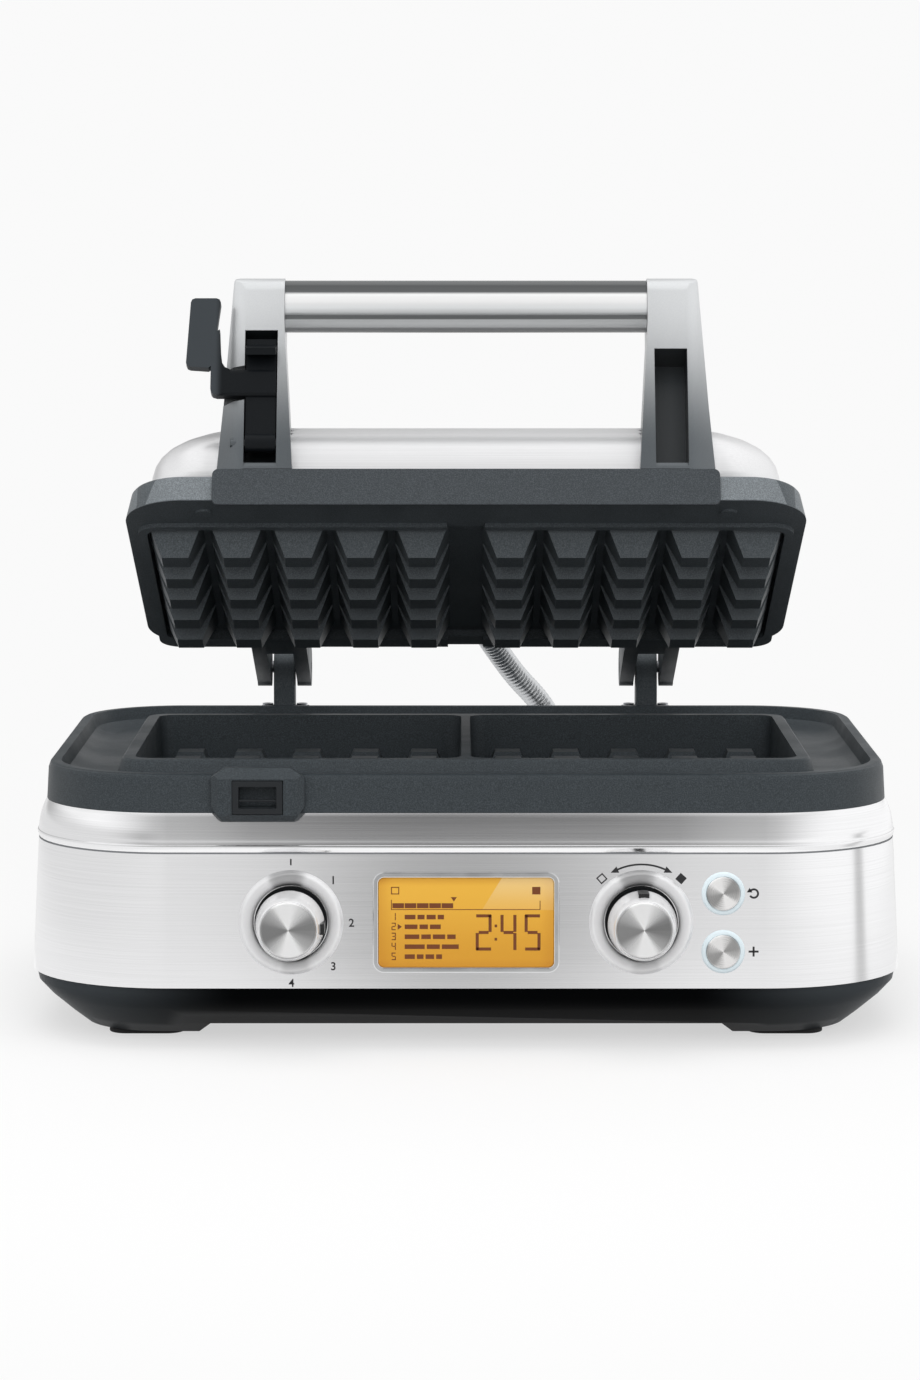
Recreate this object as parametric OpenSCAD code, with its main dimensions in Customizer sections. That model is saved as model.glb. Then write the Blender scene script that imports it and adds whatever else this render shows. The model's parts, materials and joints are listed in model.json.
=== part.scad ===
// Two-square waffle maker with a moat round its lower plate, a domed lid and a flip-down latch.
// Millimetres, +Z up, front towards -Y. The lid's pieces are drawn shut and turned open by lid_open.

/* [Body] */
// Width of the lower plate's rim
rim_w = 377; // [365:1:385]
// Depth of the lower plate's rim, front to back
rim_d = 266; // [262:1:274]
// Height of the rim's top edge above the table
rim_top = 122; // [120:1:126]
// Height of the rim's side face
rim_h = 17; // [15:0.5:18]
// Corner radius of the rim at the front
corner_front = 57; // [50:1:60]
// Corner radius of the rim at the back
corner_back = 48; // [42:1:56]
// How far the shoulder swells beyond the rim at its seam
seam_out = 5; // [4.5:0.5:6]
// How far the side panel's lower edge stands beyond the rim
skirt_out = 8; // [7:0.5:9]
// Height of the seam between the shoulder and the side panel
seam_z = 86; // [85:0.5:88]
// Height of the side panel's lower edge
skirt_z = 28; // [26:0.5:30]
// Thickness of the steel panels
steel_t = 1.5; // [1.2:0.1:1.8]
// Height of the tray's floor above the table
tray_z = 8; // [6:0.5:9]
// Wall of the plastic tray
tray_t = 2.4; // [2:0.1:3]
// How far the tray draws in at the sides by the time it reaches the table
tray_in_side = 16; // [12:1:20]
// How far the tray draws in at the front and back
tray_in_front = 25; // [18:1:28]
// Thickness of the rubber foot pads
pad_t = 2.5; // [2:0.5:3.5]
// Half the width of the gap between the left and right feet, at the tray's floor
foot_gap = 114; // [105:1:120]

/* [Lower plate] */
// Width of the wall round the moat, at its top edge
rim_edge = 5.5; // [4.5:0.5:7]
// Depth of the moat below the rim's top edge
moat_h = 9; // [7:0.5:10]
// Thickness of the cast plates
cast_t = 5; // [4:0.5:5.5]
// Distance from the rim's front to the raised lip's outer edge
lip_front = 27; // [26:0.5:29]
// Width of the raised lip, across both waffles
lip_w = 309; // [306:1:314]
// Depth of the raised lip, front to back
lip_d = 176.5; // [175:0.5:180]
// Width of the lip's flat top
lip_t = 6; // [5.5:0.25:6.5]
// How far the lip stands above the rim
lip_rise = 3; // [2.5:0.25:4]
// Depth of the waffle cavities below the lip
cavity_h = 26; // [24:0.5:28]
// Width of the divider between the two waffles
divider_t = 4; // [3:0.5:6]

/* [Teeth] */
// Number of teeth across each waffle
tooth_cols = 5; // [3:1:5]
// Number of rows of teeth, front to back
tooth_rows = 5; // [3:1:5]
// Distance from one tooth to the next
tooth_pitch = 27.8; // [26:0.1:28]
// Width of a tooth's flat tip
tip_w = 12; // [10:0.5:13]
// Slope of a tooth's sides, from upright
tooth_slope = 23; // [18:1:24]
// Distance from the centre line to the middle of the first column
tooth_first_x = 19.9; // [19:0.1:21]
// Distance from the lid's front edge to the middle of the first row
tooth_first_y = 46.5; // [46:0.5:48]
// How far the lower teeth stop short of the lip's height
lower_tip_drop = 13; // [12.5:0.5:14]
// How far the upper teeth hang below the lid's flange
upper_tip_drop = 12; // [10:0.5:12]

/* [Lid] */
// Angle at which the lid stands open
lid_open = 25; // [10:1:40]
// Width of the lid's flange
lid_w = 305; // [303:1:308]
// Depth of the lid's flange
lid_d = 193; // [191:1:196]
// Distance from the rim's front to the shut lid's front edge
lid_front = 6; // [5.5:0.5:7]
// Height of the flange's side band
band_h = 12.5; // [11:0.5:14]
// Corner radius of the flange
lid_corner = 27; // [22:1:32]
// Height of the upper cavities' floor above the flange
upper_floor = 3; // [2:0.5:4]
// How far the upper lip hangs below the flange
upper_lip_h = 2; // [1:0.25:2.5]
// Gap between the shut lid and the lower lip
shut_gap = 0.4; // [0.3:0.1:0.8]
// How far the steel dome stands in from the lid's sides
dome_side = 10; // [8.5:0.5:14]
// How far the steel dome stands in from the lid's back edge
dome_back = 7; // [6:0.5:12]
// Distance from the lid's front edge to the dome's front
dome_front = 10; // [9:0.5:12]
// Height of the dome's top above the flange
dome_h = 51; // [47:1:53]

/* [Handle] */
// Half the length of the grip between the arms
grip_half = 81.5; // [80:0.5:83]
// How far an arm's foot reaches out beyond the grip's end
arm_foot_out = 30; // [28:0.5:31.5]
// How far an arm's top reaches out beyond the grip's end
arm_top_out = 23; // [21.5:0.5:24]
// How far an arm's foot reaches in past the grip's end
arm_foot_in = 4.5; // [3:0.5:5.5]
// Depth of an arm, front to back, at its foot
arm_d = 34; // [30:1:36]
// Height of the arms' tops above the flange
arm_top = 110.5; // [110:0.5:114]
// Height of the grip's middle above the flange
grip_z = 98.6; // [96:0.2:99]
// Height of the grip's section
grip_h = 23.5; // [22:0.25:24]
// Depth of the grip's section
grip_d = 25; // [24:0.5:27]
// Distance from the lid's front edge back to the grip's middle
grip_y = 12; // [12:0.5:13.5]
// Thickness of the bracket plate on the lid's front band
bracket_t = 1.8; // [1.4:0.1:2]
// Height of the bracket plate's top above the flange
bracket_top = 14.5; // [14:0.5:16]
// Width of the pocket in an arm's front
pocket_w = 14.5; // [14.5:0.25:16]
// Distance from the grip's end out to the middle of a pocket
pocket_off = 10; // [9.5:0.5:10.5]
// Depth of a pocket
pocket_d = 21; // [18:0.5:23]

/* [Latch] */
// Height of the latch's pin above the flange
latch_pin_h = 28; // [27:0.5:29]
// Radius of the latch's pin
latch_pin_r = 2; // [1.75:0.25:2.5]
// Reach of the latch from its pin to its nose
latch_reach = 46; // [45:0.25:46.5]
// Angle through which the latch swings down to lock
latch_swing = 150; // [149:0.5:151]
// Thickness of the latch's lever
latch_t = 4.5; // [4:0.25:5]
// Width of the latch's thumb paddle
paddle_w = 13.5; // [12:0.5:15]
// Width of the catch block on the rim's front
catch_w = 41; // [38:1:44]
// How far the catch block stands in front of the rim
catch_out = 6; // [5:0.5:7]
// Width of the catch's window
window_w = 16.5; // [15.5:0.5:18]
// Height of the catch's window
window_h = 9.4; // [8.5:0.1:10]

/* [Hinges] */
// Half the distance between the two hinges
hinge_x = 91; // [88:1:98]
// Distance from the rim's front back to the hinge axis
pivot_y = 275.7; // [275:0.1:278]
// Height of the hinge axis above the rim's top edge
pivot_rise = 18.2; // [17:0.2:20]
// Radius of the hinge pins
pin_r = 3; // [2.5:0.25:3.5]
// Width of a hinge post's blade
post_w = 10.5; // [9:0.5:12]
// Thickness of each hinge lug on the lid
lug_t = 7; // [5.5:0.1:8]
// Gap between a post and each lug beside it
lug_gap = 1.2; // [1:0.05:2.5]

/* [Controls] */
// Height of the controls' centre line
controls_z = 57.2; // [56:0.2:59]
// Distance from the centre line to each dial's middle
dial_x = 77; // [72:0.5:80]
// Outer radius of a dial's ring
ring_r = 23; // [21:0.5:24]
// Radius of the well inside a dial's ring
well_r = 16.4; // [16.2:0.1:17]
// Radius of a knob at its foot
knob_r = 15.7; // [14.5:0.1:15.9]
// Radius of a knob's face
knob_face_r = 12.8; // [11:0.1:13.5]
// How far a knob's face stands out from the panel
knob_h = 32; // [26:0.5:34]
// Radius of a knob's shaft
shaft_r = 3; // [2.5:0.25:3.5]
// Width of the display's frame
display_w = 82; // [76:1:86]
// Height of the display's frame
display_h = 44.4; // [40:0.2:46]
// Width of the visible edge of the display's frame
display_edge = 2.4; // [2:0.1:3]
// Distance from the centre line to the buttons
button_x = 113; // [111:0.5:115]
// Height of the upper button above the controls' centre line
button_up = 12.7; // [12:0.1:14]
// Height of the lower button below the controls' centre line
button_down = 12.9; // [12:0.1:14]
// Radius of a button's cap
button_r = 7.3; // [6.5:0.1:7.5]
// Outer radius of the lit ring round a button
halo_r = 9.4; // [9:0.1:10]
// How far a button travels
button_travel = 1.2; // [0.8:0.1:1.3]
// Depth of the control board behind the panel
board_depth = 12.4; // [12:0.2:14]

/* [Wiring] */
// Radius of the sleeved conduit between the base and the lid
conduit_r = 5; // [4:0.25:6]
// Distance from the centre line to the conduit's hole in the base
conduit_base_x = 52; // [46:1:58]
// Height of the conduit's hole in the base, below the rim's top edge
conduit_drop = 27; // [26:0.5:29]
// Height of the conduit's hole in the lid, above the flange
conduit_lid_h = 24; // [22:0.5:27]
// Radius of the cord's hole in its gland
cord_r = 4; // [3:0.25:5]
// Radius of the tubular heating elements
heater_r = 4; // [3:0.25:4]

/* [Clearances] */
// Gap between pieces that lie loosely in one another
fit_gap = 0.3; // [0.2:0.05:0.4]
// Running clearance of a pin or shaft in its bore
run_gap = 0.05; // [0.03:0.01:0.08]

/* [Hidden] */
$fn = 72;
loft_fn = 64;
slice_t = 0.01;
eps = 0.1;

// Heights and places of the body
knob_reach = skirt_out + knob_h;
conduit_back = 15.6;
front_y = -(pivot_y + conduit_back - knob_reach) / 2;
back_y = front_y + rim_d;
rim_bottom = rim_top - rim_h;
lip_top = rim_top + lip_rise;
cavity_floor = lip_top - cavity_h;
tub_bottom = cavity_floor - cast_t + 1;
tub_wall = cast_t;
tub_clear = 2;
moat_floor = rim_top - moat_h;
deck_z = rim_bottom - steel_t;
tray_floor = tray_z + tray_t;
tray_top_in = 1.5;

// The raised lip and the cavities inside it
lip_y0 = front_y + lip_front;
lip_y1 = lip_y0 + lip_d;
cav_y0 = lip_y0 + lip_t;
cav_y1 = lip_y1 - lip_t;
cav_hw = lip_w / 2 - lip_t;
cav_corner = 8;
cav_draft = 1.5;

// The arms' outer and inner faces and the pockets' middles, from the centre line
arm_out_foot = grip_half + arm_foot_out;
arm_out_top = grip_half + arm_top_out;
arm_in_foot = grip_half - arm_foot_in;
pocket_x = grip_half + pocket_off;

// The lid, drawn shut
lid_y0 = front_y + lid_front;
lid_y1 = lid_y0 + lid_d;
lid_z = lip_top + shut_gap;
hinge_y = front_y + pivot_y;
hinge_z = rim_top + pivot_rise;
plate_top = upper_floor + cast_t;
upper_lip_in = 4.8;
upper_lip_front = 28;
upper_lip_t = 4;
upper_lip_back = 11;
upper_cav_y0 = lid_y0 + upper_lip_front + upper_lip_t;
upper_cav_y1 = lid_y1 - 2 - upper_lip_back;
seat_w = 3.5;
dome_w = lid_w - 2 * dome_side;
dome_y0 = lid_y0 + dome_front;
dome_y1 = lid_y1 - dome_back;
dome_corner = 26;
heater_w = 2 * (lip_w / 2 - 34);
heater_d = 96;
heater_mid = (cav_y0 + cav_y1) / 2;
upper_heater_mid = (dome_y0 + dome_y1) / 2;
upper_heater_d = dome_y1 - dome_y0 - 80;
shield_w = heater_w + 26;
shield_d = heater_d + 26;
shield_t = 1;

// The front panel leans back by this angle
panel_tilt = atan((skirt_out - seam_out) / (seam_z - skirt_z));

// Colours
charcoal = [0.22, 0.23, 0.24];
steel = [0.78, 0.78, 0.79];
polished = [0.9, 0.9, 0.91];
black = [0.06, 0.06, 0.065];
grey_cast = [0.5, 0.52, 0.54];
amber = [0.9, 0.62, 0.2];
board_green = [0.1, 0.35, 0.2];
zinc = [0.7, 0.71, 0.72];

// ---- Shared outlines and lofts ----

// A flat outline with rounded corners, half width hw, from y0 to y1
module outline(hw, y0, y1, rf, rb) {
    translate([-hw, y0 + rf]) square([2 * hw, y1 - y0 - rf - rb]);
    translate([-hw + rf, y0]) square([2 * (hw - rf), rf + eps]);
    translate([-hw + rb, y1 - rb - eps]) square([2 * (hw - rb), rb + eps]);
    for (side = [-1, 1]) {
        translate([side * (hw - rf), y0 + rf]) circle(rf);
        translate([side * (hw - rb), y1 - rb]) circle(rb);
    }
}

// The rim's outline, grown by gx at the sides and gy at the front and back
module rim_outline(gx, gy) {
    grow = (gx + gy) / 2;
    outline(rim_w / 2 + gx, front_y - gy, back_y + gy,
        max(8, corner_front + grow), max(8, corner_back + grow));
}

// The lid flange's outline, drawn in by inset at its front and sides and by back_in at its back
module lid_outline(inset, back_in) {
    outline(lid_w / 2 - inset, lid_y0 + inset, lid_y1 - back_in, max(4, lid_corner - inset), lid_corner);
}

// A solid through a stack of rim outlines, each level being [height, side growth, front growth]
module rim_loft(levels) {
    last = len(levels) - 1;
    hull()
        for (i = [0:last])
            translate([0, 0, levels[i][0] - (i == last ? slice_t : 0)])
                linear_extrude(slice_t)
                    rim_outline(levels[i][1], levels[i][2], $fn = loft_fn);
}

// A centred rounded rectangle
module pill(w, h, r) {
    square([w - 2 * r, h], center = true);
    square([w, h - 2 * r], center = true);
    for (x = [-1, 1], y = [-1, 1])
        translate([x * (w / 2 - r), y * (h / 2 - r)]) circle(r);
}

// Y of the front panel's face at height z
function panel_y(z) = front_y - skirt_out + (z - skirt_z) * (skirt_out - seam_out) / (seam_z - skirt_z);

// Puts a child on the front panel, its +Z pointing out of the panel and its +Y up the panel
module on_panel(x, z) {
    translate([x, panel_y(z) - 2 * slice_t, z]) rotate([90 - panel_tilt, 0, 0]) children();
}

// Turns the lid's pieces open about the hinge axis
module lid_pose() {
    translate([0, hinge_y, hinge_z])
        rotate([-lid_open, 0, 0])
            translate([0, -hinge_y, -hinge_z])
                children();
}

// A machine screw, head up, its head seated at z = 0
module screw(r, length, head_r, head_h) {
    translate([0, 0, -length]) cylinder(r = r, h = length + eps);
    difference() {
        cylinder(r = head_r, h = head_h);
        translate([0, 0, head_h * 0.4]) cylinder(r = head_r * 0.45, h = head_h);
    }
}

// ---- Base ----

// Tray levels from the table up: each is [height, side growth, front growth], drawn in by wall
function tray_levels(floor_z, wall, lift) = [
    [floor_z, -tray_in_side - wall, -tray_in_front - wall],
    [tray_z + lift, -tray_in_side * 0.6 - wall, -tray_in_front * 0.6 - wall],
    [tray_z + 9 + lift, -wall, -wall],
    [skirt_z - 5, skirt_out - 2.5 - wall, skirt_out - 2.5 - wall],
    [skirt_z, skirt_out - tray_top_in - wall, skirt_out - tray_top_in - wall]
];

foot_side_y = 62;
tub_hw = cav_hw + tub_wall;
chassis_x = tub_hw + 0.3 * (rim_w / 2 - tray_t - tub_hw);
chassis_y0 = front_y + 52;
chassis_y1 = back_y - 50;
board_x = 62;
board_y = 46;
board_boss = 2.2;
chassis_r = 4;
screw_r = 1.6;
screw_gap = 0.2;

module base_tray() color(black) {
    mid_y = (front_y + back_y) / 2;
    slope = 8;
    difference() {
        rim_loft(tray_levels(pad_t, 0, 0));
        // hollow inside the tray
        rim_loft([
            [tray_floor, -tray_in_side * 0.6 - tray_t, -tray_in_front * 0.6 - tray_t],
            [tray_floor + 8, -tray_t, -tray_t],
            [skirt_z + eps, skirt_out - tray_top_in - tray_t, skirt_out - tray_top_in - tray_t]
        ]);
        // gap between the left and right feet
        translate([0, back_y + 1, 0])
            rotate([90, 0, 0])
                linear_extrude(rim_d + 2)
                    polygon([
                        [-foot_gap - slope, 0], [-foot_gap, tray_z],
                        [foot_gap, tray_z], [foot_gap + slope, 0]
                    ]);
        // gap between the front and back feet
        translate([-rim_w / 2 - 1, mid_y, 0])
            rotate([90, 0, 90])
                linear_extrude(rim_w + 2)
                    polygon([
                        [-foot_side_y - slope, 0], [-foot_side_y, tray_z],
                        [foot_side_y, tray_z], [foot_side_y + slope, 0]
                    ]);
        // screw holes under the chassis posts
        for (x = [-1, 1], y = [chassis_y0, chassis_y1])
            translate([x * chassis_x, y, 0]) {
                cylinder(r = screw_r + screw_gap, h = tray_floor + 5);
                cylinder(r = 4.5, h = tray_z);
            }
    }
    // bosses that carry the power board
    for (x = [-1, 1], y = [-1, 1])
        translate([x * (board_x - 6), mid_y + y * (board_y - 6), tray_floor - eps])
            cylinder(r = 4, h = board_boss + eps);
}

pad_w = 34;
pad_d = 22;
pad_x = foot_gap + 30;
pad_in = 43;

module foot_pads() color(black)
    for (x = [-1, 1], y = [front_y + pad_in, back_y - pad_in])
        translate([x * pad_x, y, 0])
            linear_extrude(pad_t)
                pill(pad_w, pad_d, 8);

module tray_screws() color(zinc)
    for (x = [-1, 1], y = [chassis_y0, chassis_y1])
        translate([x * chassis_x, y, tray_z])
            rotate([180, 0, 0])
                screw(screw_r, 14, 3.6, 2.4);

module chassis_posts() color(zinc)
    for (x = [-1, 1], y = [chassis_y0, chassis_y1])
        translate([x * chassis_x, y, tray_floor])
            difference() {
                cylinder(r = chassis_r, h = deck_z - tray_floor);
                translate([0, 0, -eps]) cylinder(r = screw_r + screw_gap, h = 20);
            }

// Opening in the panel behind the display's frame
opening_w = display_w - display_edge;
opening_h = display_h - display_edge;
bush_r = shaft_r + 1.8;
cord_x = -60;
cord_z = 44;
gland_neck = cord_r + 2.4;

module side_panel() color(steel)
    difference() {
        rim_loft([[skirt_z, skirt_out, skirt_out], [seam_z, seam_out, seam_out]]);
        rim_loft([
            [skirt_z - eps, skirt_out - steel_t, skirt_out - steel_t],
            [seam_z + eps, seam_out - steel_t, seam_out - steel_t]
        ]);
        on_panel(0, controls_z)
            translate([0, 0, -4]) linear_extrude(8) pill(opening_w, opening_h, 3.5);
        for (x = [-dial_x, dial_x])
            on_panel(x, controls_z)
                translate([0, 0, -4]) cylinder(r = bush_r + fit_gap, h = 8);
        for (z = [controls_z + button_up, controls_z - button_down])
            on_panel(button_x, z)
                translate([0, 0, -4]) cylinder(r = halo_r - 0.8 + fit_gap, h = 8);
        translate([cord_x, back_y - 4, cord_z])
            rotate([-90, 0, 0]) cylinder(r = gland_neck + fit_gap, h = 20);
    }

module shoulder_cover() color(steel)
    difference() {
        shoulder_loft(0, 0);
        shoulder_loft(steel_t, steel_t);
        // opening that the waffle tub hangs through
        translate([0, 0, deck_z - 1])
            linear_extrude(steel_t + 2)
                outline(cav_hw + tub_wall + tub_clear, cav_y0 - tub_wall - tub_clear,
                    cav_y1 + tub_wall + tub_clear, 12, 12);
        // notch round the catch block
        translate([-pocket_x, front_y + catch_back + 0.6, 0])
            rotate([90, 0, 0]) linear_extrude(20) catch_outline(0.5);
        // hole for the conduit's gland
        translate([conduit_base_x, back_y - 6, rim_top - conduit_drop])
            rotate([-90, 0, 0]) cylinder(r = conduit_r + 2 + fit_gap, h = 20);
    }

// The shoulder's swelling side, drawn in by wall and lowered by drop
module shoulder_loft(wall, drop) {
    rise = rim_bottom - seam_z;
    rim_loft([
        [seam_z - (wall > 0 ? eps : 0), seam_out - wall, seam_out - wall],
        [seam_z + rise * 0.2, seam_out - 0.2 - wall, seam_out - 0.2 - wall],
        [seam_z + rise * 0.5, seam_out * 0.82 - wall, seam_out * 0.82 - wall],
        [seam_z + rise * 0.8, seam_out * 0.55 - wall, seam_out * 0.55 - wall],
        [rim_bottom - drop, seam_out * 0.2 - wall, seam_out * 0.2 - wall]
    ]);
}

// A waffle's cavity on one side of the divider, drawn in by draft at its floor
module cavity_cut(side) {
    w = cav_hw - divider_t / 2;
    mid = side * (divider_t / 2 + w / 2);
    hull() {
        translate([mid, 0, cavity_floor])
            linear_extrude(slice_t)
                outline(w / 2 - cav_draft, cav_y0 + cav_draft, cav_y1 - cav_draft, 6, 6, $fn = 32);
        translate([mid, 0, lip_top + 1])
            linear_extrude(slice_t)
                outline(w / 2, cav_y0, cav_y1, cav_corner, cav_corner, $fn = 32);
    }
}

// Trapezoid ribs side by side: centres, tip height h, foot depth f
module ribs(centres, h, f) {
    half_tip = tip_w / 2;
    half_foot = half_tip + h * tan(tooth_slope);
    for (c = centres)
        polygon([
            [c - half_foot, -f], [c - half_foot, 0], [c - half_tip, h],
            [c + half_tip, h], [c + half_foot, 0], [c + half_foot, -f]
        ]);
}

// The grid of teeth of both waffles, h high, standing on z = 0
module teeth(h) {
    cols = [for (side = [-1, 1], i = [0:tooth_cols - 1]) side * (tooth_first_x + i * tooth_pitch)];
    rows = [for (i = [0:tooth_rows - 1]) lid_y0 + tooth_first_y + i * tooth_pitch];
    foot = 1;
    intersection() {
        translate([0, lip_y1, 0]) rotate([90, 0, 0]) linear_extrude(lip_d) ribs(cols, h, foot);
        translate([-lip_w / 2, 0, 0]) rotate([90, 0, 90]) linear_extrude(lip_w) ribs(rows, h, foot);
    }
}

catch_z0 = rim_bottom - 3;
catch_top = lip_top;
catch_back = 3;
window_z = rim_top - 9.6;

// The catch block's face outline in X and Z, grown by g
module catch_outline(g) {
    hw = catch_w / 2 + g;
    polygon([
        [-hw + 4.5, catch_z0 - g], [-hw, catch_z0 + 6 - g], [-hw, catch_top - 4], [-hw + 6, catch_top],
        [hw - 6, catch_top], [hw, catch_top - 4], [hw, catch_z0 + 6 - g], [hw - 4.5, catch_z0 - g]
    ]);
}

insert_w = window_w + 5.4;
insert_h = window_h + 5.2;
insert_t = 2.5;
pedestal_w = 24;
pedestal_d = 18;
pedestal_h = 8;
foot_z = rim_top - 5;
post_screw_x = 8.6;

module lower_plate() color(charcoal) {
    difference() {
        union() {
            difference() {
                rim_loft([
                    [rim_bottom, 1, 1], [rim_top - 3, 0.2, 0.2],
                    [rim_top - 0.8, -0.6, -0.6], [rim_top, -2, -2]
                ]);
                // the moat
                rim_loft([
                    [moat_floor, -rim_edge - 12, -rim_edge - 12],
                    [moat_floor + 1.2, -rim_edge - 5.5, -rim_edge - 5.5],
                    [moat_floor + 3.5, -rim_edge - 2, -rim_edge - 2],
                    [rim_top + eps, -rim_edge, -rim_edge]
                ]);
                // the underside, recessed to the casting's thickness
                translate([0, 0, rim_bottom - 1])
                    linear_extrude(moat_floor - cast_t - rim_bottom + 1)
                        rim_outline(-rim_edge - 6, -rim_edge - 6);
            }
            // the raised block that carries the lip and the cavities
            hull() {
                translate([0, 0, moat_floor - 1])
                    linear_extrude(1) outline(lip_w / 2 + 3.5, lip_y0 - 3.5, lip_y1 + 3.5, 16, 16, $fn = 48);
                translate([0, 0, lip_top - 1])
                    linear_extrude(slice_t) outline(lip_w / 2, lip_y0, lip_y1, 12, 12, $fn = 48);
                translate([0, 0, lip_top - slice_t])
                    linear_extrude(slice_t)
                        outline(lip_w / 2 - 1, lip_y0 + 1, lip_y1 - 1, 11, 11, $fn = 48);
            }
            // the tub below it
            translate([0, 0, tub_bottom])
                linear_extrude(moat_floor - tub_bottom)
                    outline(cav_hw + tub_wall, cav_y0 - tub_wall, cav_y1 + tub_wall, 10, 10);
            // the catch block
            translate([-pocket_x, 0, 0])
                intersection() {
                    translate([0, front_y + catch_back, 0])
                        rotate([90, 0, 0]) linear_extrude(catch_out + catch_back) catch_outline(0);
                    // sloped above, where the latch swings past, and bevelled below
                    translate([-catch_w, front_y, 0])
                        rotate([90, 0, 90])
                            linear_extrude(2 * catch_w)
                                polygon([
                                    [catch_back, catch_z0], [2 - catch_out, catch_z0],
                                    [-catch_out, catch_z0 + 2.5], [-catch_out, catch_top - 4.4],
                                    [4 - catch_out, catch_top], [catch_back, catch_top]
                                ]);
                    // bevelled at both ends
                    translate([0, front_y, catch_z0])
                        linear_extrude(catch_top - catch_z0)
                            polygon([
                                [-catch_w / 2, catch_back], [-catch_w / 2, 2.5 - catch_out],
                                [3 - catch_w / 2, -catch_out], [catch_w / 2 - 3, -catch_out],
                                [catch_w / 2, 2.5 - catch_out], [catch_w / 2, catch_back]
                            ]);
                }
            // pedestals under the hinge posts
            for (x = [-hinge_x, hinge_x])
                translate([x - pedestal_w / 2, back_y - rim_edge, foot_z - pedestal_h])
                    cube([pedestal_w, pivot_y - rim_d + rim_edge + pedestal_d / 2, pedestal_h]);
        }
        for (side = [-1, 1])
            cavity_cut(side);
        // seat of the catch's insert, and the window's blind pocket
        translate([-pocket_x, front_y - catch_out, window_z]) {
            translate([0, insert_t - 0.8, 0])
                rotate([90, 0, 0])
                    linear_extrude(insert_t + 5)
                        square([insert_w + 2 * fit_gap, insert_h + 2 * fit_gap], center = true);
            translate([0, catch_out + catch_back, 0])
                rotate([90, 0, 0])
                    linear_extrude(catch_out + catch_back)
                        square([window_w, window_h], center = true);
        }
        // threaded holes for the hinge posts' screws
        for (x = [-hinge_x, hinge_x], s = [-1, 1])
            translate([x + s * post_screw_x, hinge_y, foot_z - 10])
                cylinder(r = screw_r + screw_gap, h = 20);
    }
    translate([0, 0, cavity_floor]) teeth(cavity_h - lower_tip_drop);
}

// A tubular element bent into a closed loop with round corners, its middle at z = 0
module heater_loop(w, d, bend) {
    for (x = [-1, 1])
        translate([x * w / 2, -d / 2 + bend, 0]) rotate([-90, 0, 0]) cylinder(r = heater_r, h = d - 2 * bend);
    for (y = [-1, 1])
        translate([-w / 2 + bend, y * d / 2, 0]) rotate([0, 90, 0]) cylinder(r = heater_r, h = w - 2 * bend);
    for (x = [-1, 1], y = [-1, 1])
        translate([x * (w / 2 - bend), y * (d / 2 - bend), 0])
            rotate([0, 0, x > 0 ? (y > 0 ? 0 : 270) : (y > 0 ? 90 : 180)])
                rotate_extrude(angle = 90) translate([bend, 0]) circle(heater_r);
}

heater_gap = 0.2;

module lower_heater() color(zinc)
    translate([0, heater_mid, tub_bottom - heater_r - heater_gap])
        heater_loop(heater_w, heater_d, 22);

// A sheet-metal pan, w by d, h deep, open towards +Z
module pan(w, d, h) {
    difference() {
        linear_extrude(h) pill(w, d, 8);
        translate([0, 0, shield_t]) linear_extrude(h) pill(w - 2 * shield_t, d - 2 * shield_t, 7);
    }
}

shield_h = 2 * heater_r + 6;

module lower_heat_shield() color(zinc)
    translate([0, heater_mid, tub_bottom - shield_h])
        pan(shield_w, shield_d, shield_h);

sensor_r = 7;
sensor_h = 6;

module lower_sensor() color(zinc)
    translate([0, heater_mid, tub_bottom - sensor_h]) {
        cylinder(r = sensor_r, h = sensor_h);
        translate([0, 0, -2]) cylinder(r = 4, h = 2 + eps);
    }

module catch_insert() color(black)
    translate([-pocket_x, front_y - catch_out + insert_t - 0.8, window_z])
        rotate([90, 0, 0]) {
            bar_t = 1.1;
            bar_z = -1.4;
            linear_extrude(insert_t)
                difference() {
                    square([insert_w, insert_h], center = true);
                    square([window_w, window_h], center = true);
                }
            translate([-window_w / 2 - eps, bar_z - bar_t / 2, 0])
                cube([window_w + 2 * eps, bar_t, insert_t - 1]);
        }

// ---- Controls on the front panel ----

bezel_h = 1.4;
window_in = display_edge;

module display_frame() color(polished)
    on_panel(0, controls_z)
        difference() {
            union() {
                linear_extrude(bezel_h) pill(display_w, display_h, 5);
                translate([0, 0, -steel_t - 3])
                    linear_extrude(steel_t + 3 + eps)
                        pill(opening_w - 2 * fit_gap, opening_h - 2 * fit_gap, 3.2);
            }
            translate([0, 0, -steel_t - 4])
                linear_extrude(steel_t + bezel_h + 5)
                    pill(display_w - 2 * window_in, display_h - 2 * window_in, 2.5);
        }

lens_t = 1.6;
lens_out = 0.4;

module display_lens() color([0.95, 0.75, 0.4, 0.5])
    on_panel(0, controls_z)
        translate([0, 0, lens_out - lens_t])
            linear_extrude(lens_t)
                pill(display_w - 2 * window_in - fit_gap, display_h - 2 * window_in - fit_gap, 2.4);

module lcd_module() color(amber)
    on_panel(0, controls_z)
        translate([0, 0, -board_depth])
            linear_extrude(board_depth - lens_t + lens_out - fit_gap)
                pill(display_w - 2 * window_in - 1, display_h - 2 * window_in - 1, 2.2);

board_x0 = -dial_x - 14;
board_x1 = button_x + 10;
board_h = 44;
pcb_t = 1.6;
spacer_r = 2.6;
spacer_xs = [board_x0 + 4, (dial_x + button_x) / 2 + 3];
spacer_y = board_h / 2 - 4;

module control_board() color(board_green)
    on_panel(0, controls_z)
        translate([0, 0, -board_depth - pcb_t])
            linear_extrude(pcb_t)
                translate([(board_x0 + board_x1) / 2, 0]) pill(board_x1 - board_x0, board_h, 2);

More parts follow.
